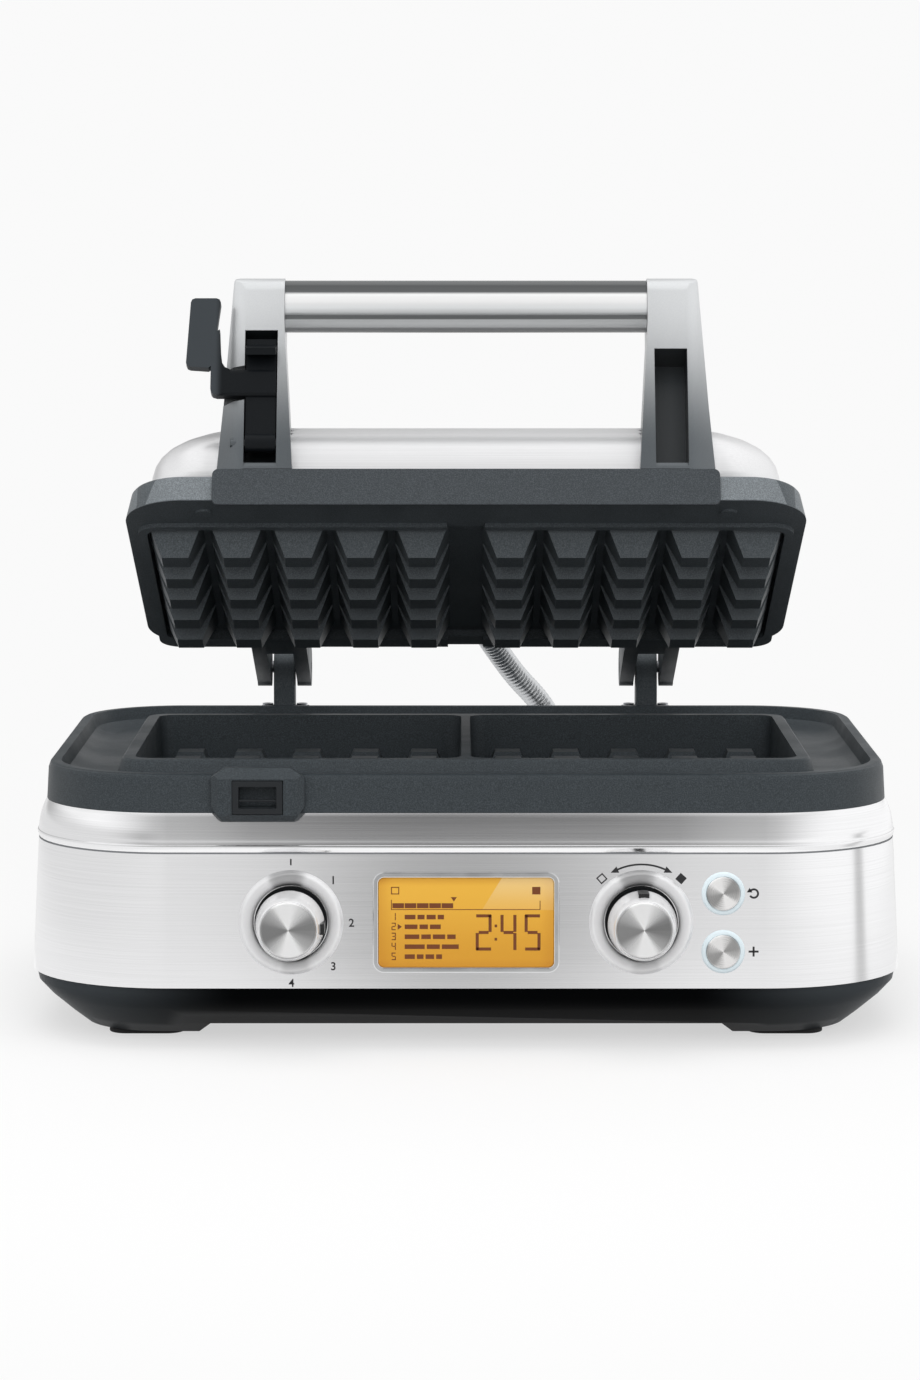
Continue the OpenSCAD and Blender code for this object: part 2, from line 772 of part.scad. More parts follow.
module board_spacers() color(zinc)
    on_panel(0, controls_z)
        for (x = spacer_xs, y = [-spacer_y, spacer_y])
            translate([x, y, -board_depth]) cylinder(r = spacer_r, h = board_depth - steel_t - 0.1);

// A bevelled dish ring round a knob's well
module dial_ring(x)
    on_panel(x, controls_z)
        rotate_extrude()
            polygon([
                [well_r, 0], [ring_r, 0], [ring_r, 0.8], [ring_r - 1.6, 2.6],
                [ring_r - 2.6, 2.8], [well_r + 0.6, 1.4], [well_r, 1]
            ]);

module mode_dial_ring() color(polished) dial_ring(-dial_x);

module shade_dial_ring() color(polished) dial_ring(dial_x);

encoder_w = 12;
encoder_h = 6.5;
bush_h = board_depth + 2.5;
shaft_foot = 1.2;

// A rotary encoder's housing with the bush that guides its shaft
module encoder(x)
    on_panel(x, controls_z)
        translate([0, 0, -board_depth])
            difference() {
                union() {
                    translate([-encoder_w / 2, -encoder_w / 2, 0]) cube([encoder_w, encoder_w, encoder_h]);
                    cylinder(r = bush_r, h = bush_h);
                }
                translate([0, 0, shaft_foot - fit_gap])
                    cylinder(r = shaft_r + run_gap, h = bush_h);
            }

module mode_encoder() color(black) encoder(-dial_x);

module shade_encoder() color(black) encoder(dial_x);

shaft_top = knob_h - 8;

module shaft(x)
    on_panel(x, controls_z)
        translate([0, 0, shaft_foot - board_depth])
            cylinder(r = shaft_r, h = board_depth - shaft_foot + shaft_top);

module mode_shaft() color(zinc) shaft(-dial_x);

module shade_shaft() color(zinc) shaft(dial_x);

knob_lift = 0.9;
face_t = 1.2;
knob_skirt = 14;

// A spun knob: a waisted barrel, hollow round the bush, with a blind bore for its shaft
module knob(x, turn)
    on_panel(x, controls_z)
        rotate([0, 0, turn])
            difference() {
                rotate_extrude()
                    polygon([
                        [0, knob_lift], [knob_r - 0.4, knob_lift], [knob_r, knob_lift + 0.5],
                        [knob_r, knob_skirt], [knob_r - 0.9, knob_skirt + 1],
                        [knob_face_r + 0.5, knob_h - 3], [knob_face_r, knob_h - 1],
                        [knob_face_r - 0.8, knob_h - face_t], [0, knob_h - face_t]
                    ]);
                cylinder(r = bush_r + 1, h = bush_h - board_depth + 1);
                cylinder(r = shaft_r + run_gap, h = shaft_top + fit_gap);
                // pointer notch in the barrel
                translate([-1.3, knob_r - 2.2, knob_skirt - 3]) cube([2.6, 4, 8]);
            }

module mode_knob() color(polished) knob(-dial_x, -90);

module shade_knob() color(polished) knob(dial_x, 0);

// A spun disc let into a knob's face
module knob_face(x)
    on_panel(x, controls_z)
        translate([0, 0, knob_h - face_t])
            rotate_extrude()
                polygon([
                    [0, 0], [knob_face_r - 1, 0], [knob_face_r - 1, face_t * 0.7],
                    [knob_face_r - 1.8, face_t], [2, face_t - 0.3], [0, face_t - 0.3]
                ]);

module mode_knob_face() color(steel) knob_face(-dial_x);

module shade_knob_face() color(steel) knob_face(dial_x);

button_out = 2.2;
button_skirt = 3.5;
halo_neck = halo_r - 0.8;
stem_r = 2;
switch_top = 2.1;
stem_end = -board_depth + switch_top + button_travel + 0.1;

module button_halos() color([0.85, 0.93, 1, 0.8])
    for (z = [controls_z + button_up, controls_z - button_down])
        on_panel(button_x, z)
            difference() {
                union() {
                    cylinder(r = halo_r, h = 0.9);
                    translate([0, 0, -steel_t - 3.5]) cylinder(r = halo_neck, h = steel_t + 3.5 + eps);
                }
                translate([0, 0, -steel_t - 4]) cylinder(r = button_r + fit_gap, h = 10);
            }

// A push button: a dished cap on a stem
module push_button(z)
    on_panel(button_x, z)
        union() {
            rotate_extrude()
                polygon([
                    [0, -button_skirt], [button_r, -button_skirt], [button_r, button_out - 0.6],
                    [button_r - 0.7, button_out], [2, button_out - 0.3], [0, button_out - 0.3]
                ]);
            translate([0, 0, stem_end]) cylinder(r = stem_r, h = -button_skirt - stem_end + eps);
        }

module upper_button() color(polished) push_button(controls_z + button_up);

module lower_button() color(polished) push_button(controls_z - button_down);

module button_switches() color(black)
    for (z = [controls_z + button_up, controls_z - button_down])
        on_panel(button_x, z)
            translate([0, 0, -board_depth]) {
                translate([-3, -3, 0]) cube([6, 6, switch_top - 0.8]);
                cylinder(r = 1.7, h = switch_top);
            }

// ---- Inside and behind the base ----

module power_board() {
    z = tray_floor + board_boss;
    mid_y = (front_y + back_y) / 2;
    translate([0, mid_y, z]) {
        color(board_green)
            linear_extrude(pcb_t) square([2 * board_x, 2 * board_y], center = true);
        color(black) {
            translate([-46, -26, pcb_t - eps]) cube([34, 30, 20]);
            translate([0, -28, pcb_t - eps]) cube([20, 16, 14]);
            translate([26, -28, pcb_t - eps]) cube([20, 16, 14]);
            translate([8, 18, pcb_t - eps]) cylinder(r = 9, h = 22);
            translate([-34, 26, pcb_t - eps]) cylinder(r = 6, h = 16);
        }
    }
}

// Y of the side panel's back face at the cord's height
cord_face = back_y + skirt_out - (cord_z - skirt_z) * (skirt_out - seam_out) / (seam_z - skirt_z);

module cord_gland() color(black)
    translate([cord_x, cord_face, cord_z])
        rotate([-90, 0, 0])
            rotate_extrude()
                polygon([
                    [cord_r, -steel_t - 4], [gland_neck, -steel_t - 4], [gland_neck, 0.4],
                    [gland_neck + 3, 0.6], [gland_neck + 3, 3], [gland_neck + 1, 5], [cord_r, 5]
                ]);

conduit_z = rim_top - conduit_drop;
conduit_face = back_y + seam_out;

module conduit_base_gland() color(black)
    translate([conduit_base_x, conduit_face, conduit_z])
        rotate([-90, 0, 0])
            rotate_extrude()
                polygon([
                    [conduit_r + fit_gap, -6], [conduit_r + 2, -6], [conduit_r + 2, 0.2],
                    [conduit_r + 4.5, 0.2], [conduit_r + 4.5, 2.4], [conduit_r + 3, 4],
                    [conduit_r + fit_gap, 4]
                ]);

foot_h = 3;

// A blade's side outline in Y and Z: a boss of radius r round the pivot on a straight shank
module post_side(r) {
    half = pedestal_d / 2;
    translate([hinge_y, hinge_z]) circle(r);
    polygon([
        [hinge_y - half, foot_z + foot_h - eps], [hinge_y - r, hinge_z],
        [hinge_y + r, hinge_z], [hinge_y + half, foot_z + foot_h - eps]
    ]);
}

post_boss_r = 8;

module hinge_posts() color(charcoal)
    for (x = [-hinge_x, hinge_x])
        difference() {
            union() {
                translate([x - post_w / 2, 0, 0])
                    rotate([90, 0, 90]) linear_extrude(post_w) post_side(post_boss_r);
                translate([x, hinge_y, foot_z])
                    linear_extrude(foot_h) pill(pedestal_w, pedestal_d, 2);
            }
            translate([x - pedestal_w, hinge_y, hinge_z])
                rotate([0, 90, 0]) cylinder(r = pin_r + run_gap, h = 2 * pedestal_w);
            for (s = [-1, 1])
                translate([x + s * post_screw_x, hinge_y, foot_z - 1])
                    cylinder(r = screw_r + screw_gap, h = foot_h + 2);
        }

module hinge_post_screws() color(zinc)
    for (x = [-hinge_x, hinge_x], s = [-1, 1])
        translate([x + s * post_screw_x, hinge_y, foot_z + foot_h])
            screw(screw_r, 10, 2.7, 1.8);

// ---- Lid ----

// A comb-toothed casting: flange, side band, hanging lip, divider and teeth
module upper_plate() color(charcoal)
    lid_pose()
        translate([0, 0, lid_z]) {
            difference() {
                union() {
                    // the side band, drawn in towards its top at the front and sides
                    hull() {
                        linear_extrude(slice_t) lid_outline(0, 0, $fn = loft_fn);
                        translate([0, 0, band_h - 1])
                            linear_extrude(slice_t) lid_outline(band_in, 0, $fn = loft_fn);
                        translate([0, 0, band_h - slice_t])
                            linear_extrude(slice_t) lid_outline(band_in + 0.8, 0.8, $fn = loft_fn);
                    }
                    // the lip that hangs inside the lower one
                    translate([0, 0, -upper_lip_h])
                        linear_extrude(upper_lip_h + 1)
                            outline(upper_lip_hw, lid_y0 + upper_lip_front, lid_y1 - 2, 10, 10);
                }
                // the upper cavity, over both waffles
                translate([0, 0, -upper_lip_h - 1])
                    linear_extrude(upper_lip_h + 1 + upper_floor)
                        outline(upper_cav_hw, upper_cav_y0, upper_cav_y1, 7, 7);
                // the lip is parted in the middle, where the lower divider stands
                translate([-lip_part, lid_y0 + upper_lip_front - 1, -upper_lip_h - 1])
                    cube([2 * lip_part, lid_y1 - lid_y0, upper_lip_h + 1]);
                // hollow over the casting
                translate([0, 0, plate_top])
                    linear_extrude(band_h)
                        outline(dome_w / 2 - seat_w, dome_y0 + seat_w, dome_y1 - seat_w, 20, 20);
            }
            translate([0, 0, upper_floor])
                mirror([0, 0, 1]) teeth(upper_floor + upper_tip_drop);
            // rest studs under the flange's front corners
            for (side = [-1, 1])
                translate([side * stud_x, lid_y0 + stud_y, -stud_h])
                    cylinder(r = stud_r, h = stud_h + eps);
        }

stud_x = 117;
stud_y = 14;
stud_r = 3.7;
stud_h = 1.2;

upper_lip_hw = lid_w / 2 - upper_lip_in;
upper_cav_hw = upper_lip_hw - upper_lip_t;
// Half the gap in the hanging lip, which the lower divider stands in
lip_part = divider_t / 2 + cav_corner - 1.5;
band_in = 2.4;

module upper_heater() color(zinc)
    lid_pose()
        translate([0, upper_heater_mid, lid_z + plate_top + heater_r + heater_gap])
            heater_loop(heater_w, upper_heater_d, 22);

module upper_heat_shield() color(zinc)
    lid_pose()
        translate([0, upper_heater_mid, lid_z + plate_top + shield_h])
            mirror([0, 0, 1]) pan(shield_w, upper_heater_d + 26, shield_h);

module upper_sensor() color(zinc)
    lid_pose()
        translate([0, upper_heater_mid, lid_z + plate_top])
            cylinder(r = sensor_r, h = sensor_h);

// The dome's section: share of its height, then how far the sides and the front and back have drawn in
dome_levels = [
    [0, 0, 0], [0.3, 0.8, 0.8], [0.5, 3, 3.2], [0.66, 7, 7.2], [0.79, 13, 12.5],
    [0.88, 20.5, 19], [0.94, 31, 27], [0.98, 50, 40], [1, 90, 62]
];

// The dome's outer form, shrunk by wall
module dome_form(wall) {
    last = len(dome_levels) - 1;
    hull()
        for (i = [0:last])
            translate([0, 0, band_h + dome_levels[i][0] * (dome_h - band_h) + dome_lift(i, last, wall)])
                linear_extrude(slice_t)
                    dome_outline(dome_levels[i][1] + wall, dome_levels[i][2] + wall, $fn = loft_fn);
}

// How far a level of the dome moves when it is shrunk by wall
function dome_lift(i, last, wall) = i == last ? -wall - slice_t
    : (wall > 0 ? (i == 0 ? -eps : -wall / 2) : 0);

// The dome's plan, drawn in at the sides and at the front and back
module dome_outline(side_in, front_in) {
    r = max(8, dome_corner - (side_in + front_in) * 0.2);
    outline(dome_w / 2 - side_in, dome_y0 + front_in, dome_y1 - front_in, r, r);
}

module lid_cover() color(polished)
    lid_pose()
        difference() {
            translate([0, 0, lid_z]) dome_form(0);
            translate([0, 0, lid_z]) dome_form(steel_t);
            for (side = [-1, 1])
                arm_block(side, fit_gap);
            translate([0, dome_y1 - 8, lid_z + conduit_lid_h])
                rotate([-90, 0, 0]) cylinder(r = conduit_r + 2 + fit_gap, h = 20);
        }

// An arm's front outline in X and height above the flange, grown by g
module arm_front(g) {
    knee = grip_z - grip_h / 2 - 1;
    polygon([
        [arm_in_foot - g, band_h - 1], [arm_out_foot + g, band_h - 1], [arm_out_foot + g, bracket_top],
        [arm_out_foot - 3 + g, 48], [arm_out_top + g, arm_top - arm_round],
        [grip_half - g, arm_top - arm_round], [grip_half - g, knee]
    ]);
    // rounded outer top corner
    round_x = arm_out_top + g - arm_round;
    translate([grip_half - g, arm_top - arm_round - eps])
        square([round_x - grip_half + g, arm_round + eps + g]);
    translate([round_x, arm_top - arm_round + g]) circle(arm_round);
}

arm_round = 6;
facet_x = pocket_x + pocket_w / 2;
facet_back = 12;

// An arm's plan: a flat front as far as the pocket's edge, then a facet that flares to the outer side
module arm_plan(g) {
    polygon([
        [arm_in_foot - 10, -bracket_t - g], [facet_x, -bracket_t - g], [facet_x + 5, 0.6 - g],
        [arm_out_foot + 2 + g, facet_back - g], [arm_out_foot + 2 + g, arm_d + 10],
        [arm_in_foot - 10, arm_d + 10]
    ]);
}

arm_back_top = 29;

// An arm's side outline in depth behind the lid's front edge and height, grown by g
module arm_side(g) {
    polygon([
        [-bracket_t - g, bracket_top], [dome_front, bracket_top], [dome_front, band_h - (g > 0 ? 1 : 0)],
        [arm_d + g, band_h - (g > 0 ? 1 : 0)], [arm_d + g, 50], [arm_back_top + g, arm_top - 10],
        [arm_back_top - 3 + g, arm_top - 3], [arm_back_top - 8, arm_top + g], [10, arm_top + g],
        [5, arm_top - 1.2 + g], [1.5 - g, arm_top - 3.2], [-bracket_t + 1 - g, arm_top - 6],
        [-bracket_t - g, arm_top - 10]
    ]);
}

// An arm as the common part of its front and side outlines, mirrored to its side
module arm_block(side, g)
    mirror([side < 0 ? 1 : 0, 0, 0])
        intersection() {
            translate([0, lid_y0 + arm_d + 10, lid_z])
                rotate([90, 0, 0]) linear_extrude(arm_d + 20) arm_front(g);
            translate([arm_in_foot - 10, lid_y0, lid_z])
                rotate([90, 0, 90]) linear_extrude(arm_out_foot - arm_in_foot + 20) arm_side(g);
            translate([0, lid_y0, lid_z])
                linear_extrude(arm_top + 10) arm_plan(g);
        }

pocket_z0 = 18;
pocket_z1 = 81;
pocket_plain_z1 = pocket_z1 - 9;

// An arm with its pocket in front
module handle_arm(side, pocket_top) {
    difference() {
        arm_block(side, 0);
        translate([side * pocket_x - pocket_w / 2, lid_y0 - bracket_t, lid_z])
            rotate([90, 0, 90])
                linear_extrude(pocket_w)
                    polygon([
                        [-1, pocket_z0 - 4.1], [1.7, pocket_z0], [pocket_d, pocket_z0],
                        [pocket_d, pocket_top], [-1, pocket_top]
                    ]);
        // bore for the rod that runs through the grip
        translate([side * (grip_half - 1), lid_y0 + grip_y, lid_z + grip_z])
            rotate([0, side * 90, 0]) cylinder(r = rod_r + run_gap, h = 16);
    }
}

rod_r = 4;
rod_end = 13;

module handle_arm_left() color(grey_cast)
    lid_pose()
        difference() {
            handle_arm(-1, pocket_z1);
            latch_pin_bore();
            // notch through the arm's outer wall for the latch's bridge
            translate([-arm_out_foot - 5, lid_y0 - bracket_t - 1, lid_z + bridge_z0 - 2])
                cube([arm_out_foot + 5 - pocket_x, 1 + notch_d, bridge_h + 4]);
        }

module handle_arm_right() color(grey_cast)
    lid_pose() handle_arm(1, pocket_plain_z1);

bracket_low = 2.6;

// The plate on the lid's front band, turned in under the arms' feet
module handle_bracket() color(charcoal)
    lid_pose()
        translate([0, lid_y0, lid_z]) {
            translate([0, -0.1, 0])
                rotate([90, 0, 0])
                    linear_extrude(bracket_t - 0.1)
                        translate([0, (bracket_top - bracket_low) / 2])
                            pill(2 * arm_out_foot + 2, bracket_top + bracket_low, 3);
            translate([-arm_out_foot + 2, -bracket_t + 0.1, band_h])
                cube([2 * arm_out_foot - 4, dome_front + bracket_t - 0.4, bracket_top - band_h]);
        }

// The grip: a tube of flattened round section with a flat along its underside
module handle_grip() color(polished)
    lid_pose()
        translate([-grip_half + fit_gap / 2, lid_y0 + grip_y, lid_z + grip_z])
            rotate([90, 0, 90])
                linear_extrude(2 * grip_half - fit_gap)
                    difference() {
                        grip_section();
                        circle(rod_r + 0.1);
                    }

// The grip's section: a broad round front, narrowed behind and flat below
module grip_section() {
    r = grip_h / 2 - 1.5;
    intersection() {
        union() {
            translate([-grip_d / 2 + r, 0]) circle(r);
            translate([grip_d / 2 - r, 0]) circle(r);
            translate([-grip_d / 2 + r, -r]) square([grip_d - 2 * r, 2 * r]);
            translate([-grip_d / 2 + 3, -grip_h / 2]) square([grip_d - 6, grip_h / 2]);
            translate([-5, 0]) square([10, grip_h / 2]);
        }
        translate([-grip_d / 2, -grip_h / 2]) square([grip_d, grip_h]);
    }
}

module grip_rod() color(zinc)
    lid_pose()
        translate([-grip_half - rod_end, lid_y0 + grip_y, lid_z + grip_z])
            rotate([0, 90, 0]) cylinder(r = rod_r, h = 2 * (grip_half + rod_end));

lug_in = post_w / 2 + lug_gap;
lug_r = 9.6;
hinge_flange_t = 4;
hinge_flange_z = 1;
hinge_web = 20;

// A lug's side outline in Y and height above the flange
module lug_side() {
    y0 = lid_y1;
    zc = hinge_z - lid_z;
    translate([hinge_y, zc]) circle(lug_r);
    polygon([
        [y0 + hinge_flange_t - eps, hinge_flange_z], [y0 + hinge_flange_t - eps, band_h],
        [hinge_y - 3, zc + lug_r - 0.5], [hinge_y, zc + lug_r], [hinge_y, zc - lug_r],
        [hinge_y - 3, zc - lug_r + 0.5]
    ]);
}

module lid_hinges() color(charcoal)
    lid_pose()
        for (x = [-hinge_x, hinge_x])
            translate([x, 0, lid_z])
                difference() {
                    union() {
                        for (s = [-1, 1])
                            translate([s > 0 ? lug_in : -lug_in - lug_t, 0, 0])
                                rotate([90, 0, 90]) linear_extrude(lug_t) lug_side();
                        // flange screwed to the lid's back band
                        translate([-lug_in - lug_t, lid_y1, hinge_flange_z])
                            cube([2 * (lug_in + lug_t), hinge_flange_t, band_h - hinge_flange_z]);
                        // web between the lugs
                        translate([-lug_in - eps, lid_y1, hinge_flange_z + 1])
                            cube([2 * lug_in + 2 * eps, hinge_web, 5]);
                    }
                    translate([-40, hinge_y, hinge_z - lid_z])
                        rotate([0, 90, 0]) cylinder(r = pin_r + run_gap, h = 80);
                    translate([0, lid_y1 - 1, band_h - 2.5])
                        rotate([-90, 0, 0]) cylinder(r = screw_r + screw_gap, h = hinge_flange_t + 2);
                }

module lid_hinge_screws() color(zinc)
    lid_pose()
        for (x = [-hinge_x, hinge_x])
            translate([x, lid_y1 + hinge_flange_t, lid_z + band_h - 2.5])
                rotate([-90, 0, 0]) screw(screw_r, hinge_flange_t - 0.2, 2.2, 1.8);

pin_short = 0.3;

module hinge_pins() color(zinc)
    lid_pose()
        for (x = [-hinge_x, hinge_x])
            translate([x, hinge_y, hinge_z])
                rotate([0, 90, 0])
                    cylinder(r = pin_r, h = 2 * (lug_in + lug_t - pin_short), center = true);

module conduit_lid_gland() color(black)
    lid_pose()
        translate([0, dome_y1, lid_z + conduit_lid_h])
            rotate([-90, 0, 0])
                rotate_extrude()
                    polygon([
                        [conduit_r + fit_gap, -5], [conduit_r + 2, -5], [conduit_r + 2, 0.2],
                        [conduit_r + 4.5, 0.2], [conduit_r + 4.5, 2.4], [conduit_r + 3, 4],
                        [conduit_r + fit_gap, 4]
                    ]);

// ---- Latch ----

latch_y = lid_y0;
latch_z = lid_z + latch_pin_h;
latch_side_gap = 0.5;
pin_past = 6;

// Bore for the latch's pin, across the pocket and a little into both its walls
module latch_pin_bore()
    translate([-pocket_x, latch_y + latch_in, latch_z])
        rotate([0, 90, 0]) cylinder(r = latch_pin_r + run_gap, h = pocket_w + 2 * pin_past + 0.4, center = true);

module latch_pin() color(zinc)
    lid_pose()
        translate([-pocket_x, latch_y + latch_in, latch_z])
            rotate([0, 90, 0]) cylinder(r = latch_pin_r, h = pocket_w + 2 * pin_past, center = true);

latch_in = 1.8;
bridge_z0 = latch_pin_h + 21.5;
bridge_h = 12.5;
bridge_t = 5;
bridge_front = -4.2;
notch_d = 9;
nose_t = 3.2;
nose_out = 12.5;
paddle_z0 = latch_pin_h + 35.2;
paddle_h = 33.2;
paddle_t = 5;

// The lever: a hooked arm in the pocket, a bridge past the arm's front and a thumb paddle beside it
module latch_lever() color(black)
    lid_pose()
        translate([-pocket_x, latch_y + latch_in, latch_z])
            difference() {
                union() {
                    hw = pocket_w / 2 - latch_side_gap;
                    // hooked arm, in the side view: Y and height about the pin
                    translate([-hw, 0, 0])
                        rotate([90, 0, 90])
                            linear_extrude(2 * hw) {
                                circle(latch_t / 2 + 2);
                                translate([-latch_t / 2, 0]) square([latch_t, latch_reach + nose_t]);
                                translate([0, latch_reach])
                                    rotate([0, 0, 90 - latch_swing + 90])
                                        translate([-nose_out, -nose_t / 2]) square([nose_out, nose_t]);
                            }
                    // bridge through the notch in the arm's outer wall
                    translate([-bridge_reach + 3, 0, bridge_z0 - latch_pin_h])
                        rotate([90, 0, 90])
                            linear_extrude(bridge_reach - 3 + hw)
                                polygon([
                                    [bridge_front, 1], [bridge_front + 1, 0], [bridge_front + bridge_t, 0],
                                    [bridge_front + bridge_t, bridge_h], [bridge_front + 1.2, bridge_h],
                                    [bridge_front, bridge_h - 2]
                                ]);
                    // paddle, bent back beside the arm
                    paddle();
                }
                rotate([0, 90, 0]) cylinder(r = latch_pin_r + run_gap, h = 3 * pocket_w, center = true);
            }

bridge_reach = arm_out_foot - pocket_x + 2.5;
paddle_in = 18.5;

// The thumb paddle: a leaning tongue that hangs beside the arm, with a neck down to the bridge
module paddle() {
    low = paddle_z0 - latch_pin_h;
    high = low + paddle_h;
    lean = 1.6;
    bridge_low = bridge_z0 - latch_pin_h;
    bridge_high = bridge_low + bridge_h;
    translate([0, bridge_front + paddle_t, 0])
        rotate([90, 0, 0])
            linear_extrude(paddle_t) {
                polygon([
                    [-paddle_in - paddle_w - lean, low + 2], [-paddle_in - paddle_w - lean + 0.6, low + 0.6],
                    [-paddle_in - paddle_w - lean + 2, low], [-paddle_in - lean - 3.4, low - 0.6],
                    [-paddle_in - lean - 2, low + 0.6], [-paddle_in, high - 2], [-paddle_in - 0.6, high - 0.6],
                    [-paddle_in - 2, high], [-paddle_in - paddle_w + 2, high],
                    [-paddle_in - paddle_w + 0.6, high - 0.6], [-paddle_in - paddle_w, high - 2]
                ]);
                // neck, rounded into the bridge
                polygon([
                    [-bridge_reach, bridge_low + 3], [-bridge_reach, low + 6], [-paddle_in - 4, low + 16],
                    [-paddle_in - 0.2, low + 18], [-paddle_in + 0.3, low + 8],
                    [-paddle_in + 1.1, bridge_high + 3], [-paddle_in + 2.3, bridge_high + 1],
                    [-paddle_in + 4.5, bridge_high - eps], [-paddle_in + 4.5, bridge_low + 1.5],
                    [-bridge_reach + 3, bridge_low], [-bridge_reach + 1.2, bridge_low + 0.5],
                    [-bridge_reach + 0.4, bridge_low + 1.4]
                ]);
            }
}

// ---- Conduit from the base to the lid ----

// A point of the shut lid, turned open about the hinge
function opened(x, y, z) = [
    x,
    hinge_y + (y - hinge_y) * cos(lid_open) + (z - hinge_z) * sin(lid_open),
    hinge_z - (y - hinge_y) * sin(lid_open) + (z - hinge_z) * cos(lid_open)
];

lid_port = opened(0, dome_y1 - 2, lid_z + conduit_lid_h);
lid_port_out = opened(1, dome_y1 + 16, lid_z + conduit_lid_h);
base_port = [conduit_base_x, conduit_face - 3, conduit_z];
base_port_out = [conduit_base_x - 1, conduit_face + 14, conduit_z + 2];
conduit_knots = [
    lid_port, lid_port_out,
    [10, hinge_y - 31, hinge_z + 20],
    [24, hinge_y - 6, hinge_z - 2],
    [39, hinge_y + 10, hinge_z - 21],
    base_port_out, base_port
];

// A smooth curve through the knots: the point at share t of the stretch after knot i
function knot(i) = conduit_knots[max(0, min(len(conduit_knots) - 1, i))];
function spline(i, t) = 0.5 * (
    2 * knot(i) + (knot(i + 1) - knot(i - 1)) * t
    + (2 * knot(i - 1) - 5 * knot(i) + 4 * knot(i + 1) - knot(i + 2)) * t * t
    + (3 * knot(i) - knot(i - 1) - 3 * knot(i + 1) + knot(i + 2)) * t * t * t
);
function unit(v) = v / norm(v);

module wiring_conduit() color(zinc) {
    sides = 12;
    per_stretch = 4;
    path = [
        for (i = [0:len(conduit_knots) - 2], k = [0:per_stretch - 1]) spline(i, k / per_stretch),
        conduit_knots[len(conduit_knots) - 1]
    ];
    last = len(path) - 1;
    heading = [for (i = [0:last]) unit(path[min(last, i + 1)] - path[max(0, i - 1)])];
    across = [for (h = heading) unit(cross(h, [1, 0, 0.2]))];
    up = [for (i = [0:last]) cross(heading[i], across[i])];
    points = [
        for (i = [0:last], s = [0:sides - 1])
            path[i] + conduit_r * (cos(360 * s / sides) * across[i] + sin(360 * s / sides) * up[i])
    ];
    skin = [
        for (i = [0:last - 1], s = [0:sides - 1])
            [i * sides + s, i * sides + (s + 1) % sides, (i + 1) * sides + (s + 1) % sides, (i + 1) * sides + s]
    ];
    first_cap = [[for (s = [0:sides - 1]) sides - 1 - s]];
    last_cap = [[for (s = [0:sides - 1]) last * sides + s]];
    polyhedron(points, concat(skin, first_cap, last_cap));
}

base_tray();
foot_pads();
tray_screws();
chassis_posts();
side_panel();
shoulder_cover();
lower_plate();
lower_heater();
lower_heat_shield();
lower_sensor();
catch_insert();
display_frame();
display_lens();
lcd_module();
control_board();
board_spacers();
mode_dial_ring();
shade_dial_ring();
mode_encoder();
shade_encoder();
button_halos();
button_switches();
power_board();
cord_gland();
conduit_base_gland();
hinge_posts();
hinge_post_screws();
wiring_conduit();
mode_knob();
mode_knob_face();
mode_shaft();
shade_knob();
shade_knob_face();
shade_shaft();
upper_button();
lower_button();
upper_plate();
upper_heater();
upper_heat_shield();
upper_sensor();
lid_cover();
handle_bracket();
handle_arm_left();
handle_arm_right();
handle_grip();
grip_rod();
lid_hinges();
lid_hinge_screws();
hinge_pins();
conduit_lid_gland();
latch_pin();
latch_lever();
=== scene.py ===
"""Looks of a two-square waffle maker: its finishes, its modelled surfaces, and the floor, lamps and camera."""

import json
import math

import bmesh
import bpy
import numpy as np
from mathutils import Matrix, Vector


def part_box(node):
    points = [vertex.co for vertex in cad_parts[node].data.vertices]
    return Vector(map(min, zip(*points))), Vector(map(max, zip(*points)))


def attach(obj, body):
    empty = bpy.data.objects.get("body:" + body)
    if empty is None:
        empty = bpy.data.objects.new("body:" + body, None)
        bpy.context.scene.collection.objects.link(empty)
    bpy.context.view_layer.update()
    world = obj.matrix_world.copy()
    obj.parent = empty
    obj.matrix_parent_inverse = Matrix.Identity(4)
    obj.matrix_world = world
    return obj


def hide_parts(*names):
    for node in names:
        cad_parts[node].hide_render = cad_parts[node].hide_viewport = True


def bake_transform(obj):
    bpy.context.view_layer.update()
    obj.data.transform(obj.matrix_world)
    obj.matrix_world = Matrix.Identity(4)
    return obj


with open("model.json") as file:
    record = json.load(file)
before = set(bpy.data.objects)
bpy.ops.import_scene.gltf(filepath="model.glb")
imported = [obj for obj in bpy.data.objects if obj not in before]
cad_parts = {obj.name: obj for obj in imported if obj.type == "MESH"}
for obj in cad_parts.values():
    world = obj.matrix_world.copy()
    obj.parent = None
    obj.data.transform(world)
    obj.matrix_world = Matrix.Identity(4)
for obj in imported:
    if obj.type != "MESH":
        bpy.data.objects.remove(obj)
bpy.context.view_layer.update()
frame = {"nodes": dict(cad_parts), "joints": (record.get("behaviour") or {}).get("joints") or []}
mm = 0.001


# ---- Tray and feet ----
# The tray is one black moulding with four corner feet, satin all over with a fine spark texture.
# Soft rubber pads are pressed into the undersides of its feet, and zinc-plated screws hold it on.

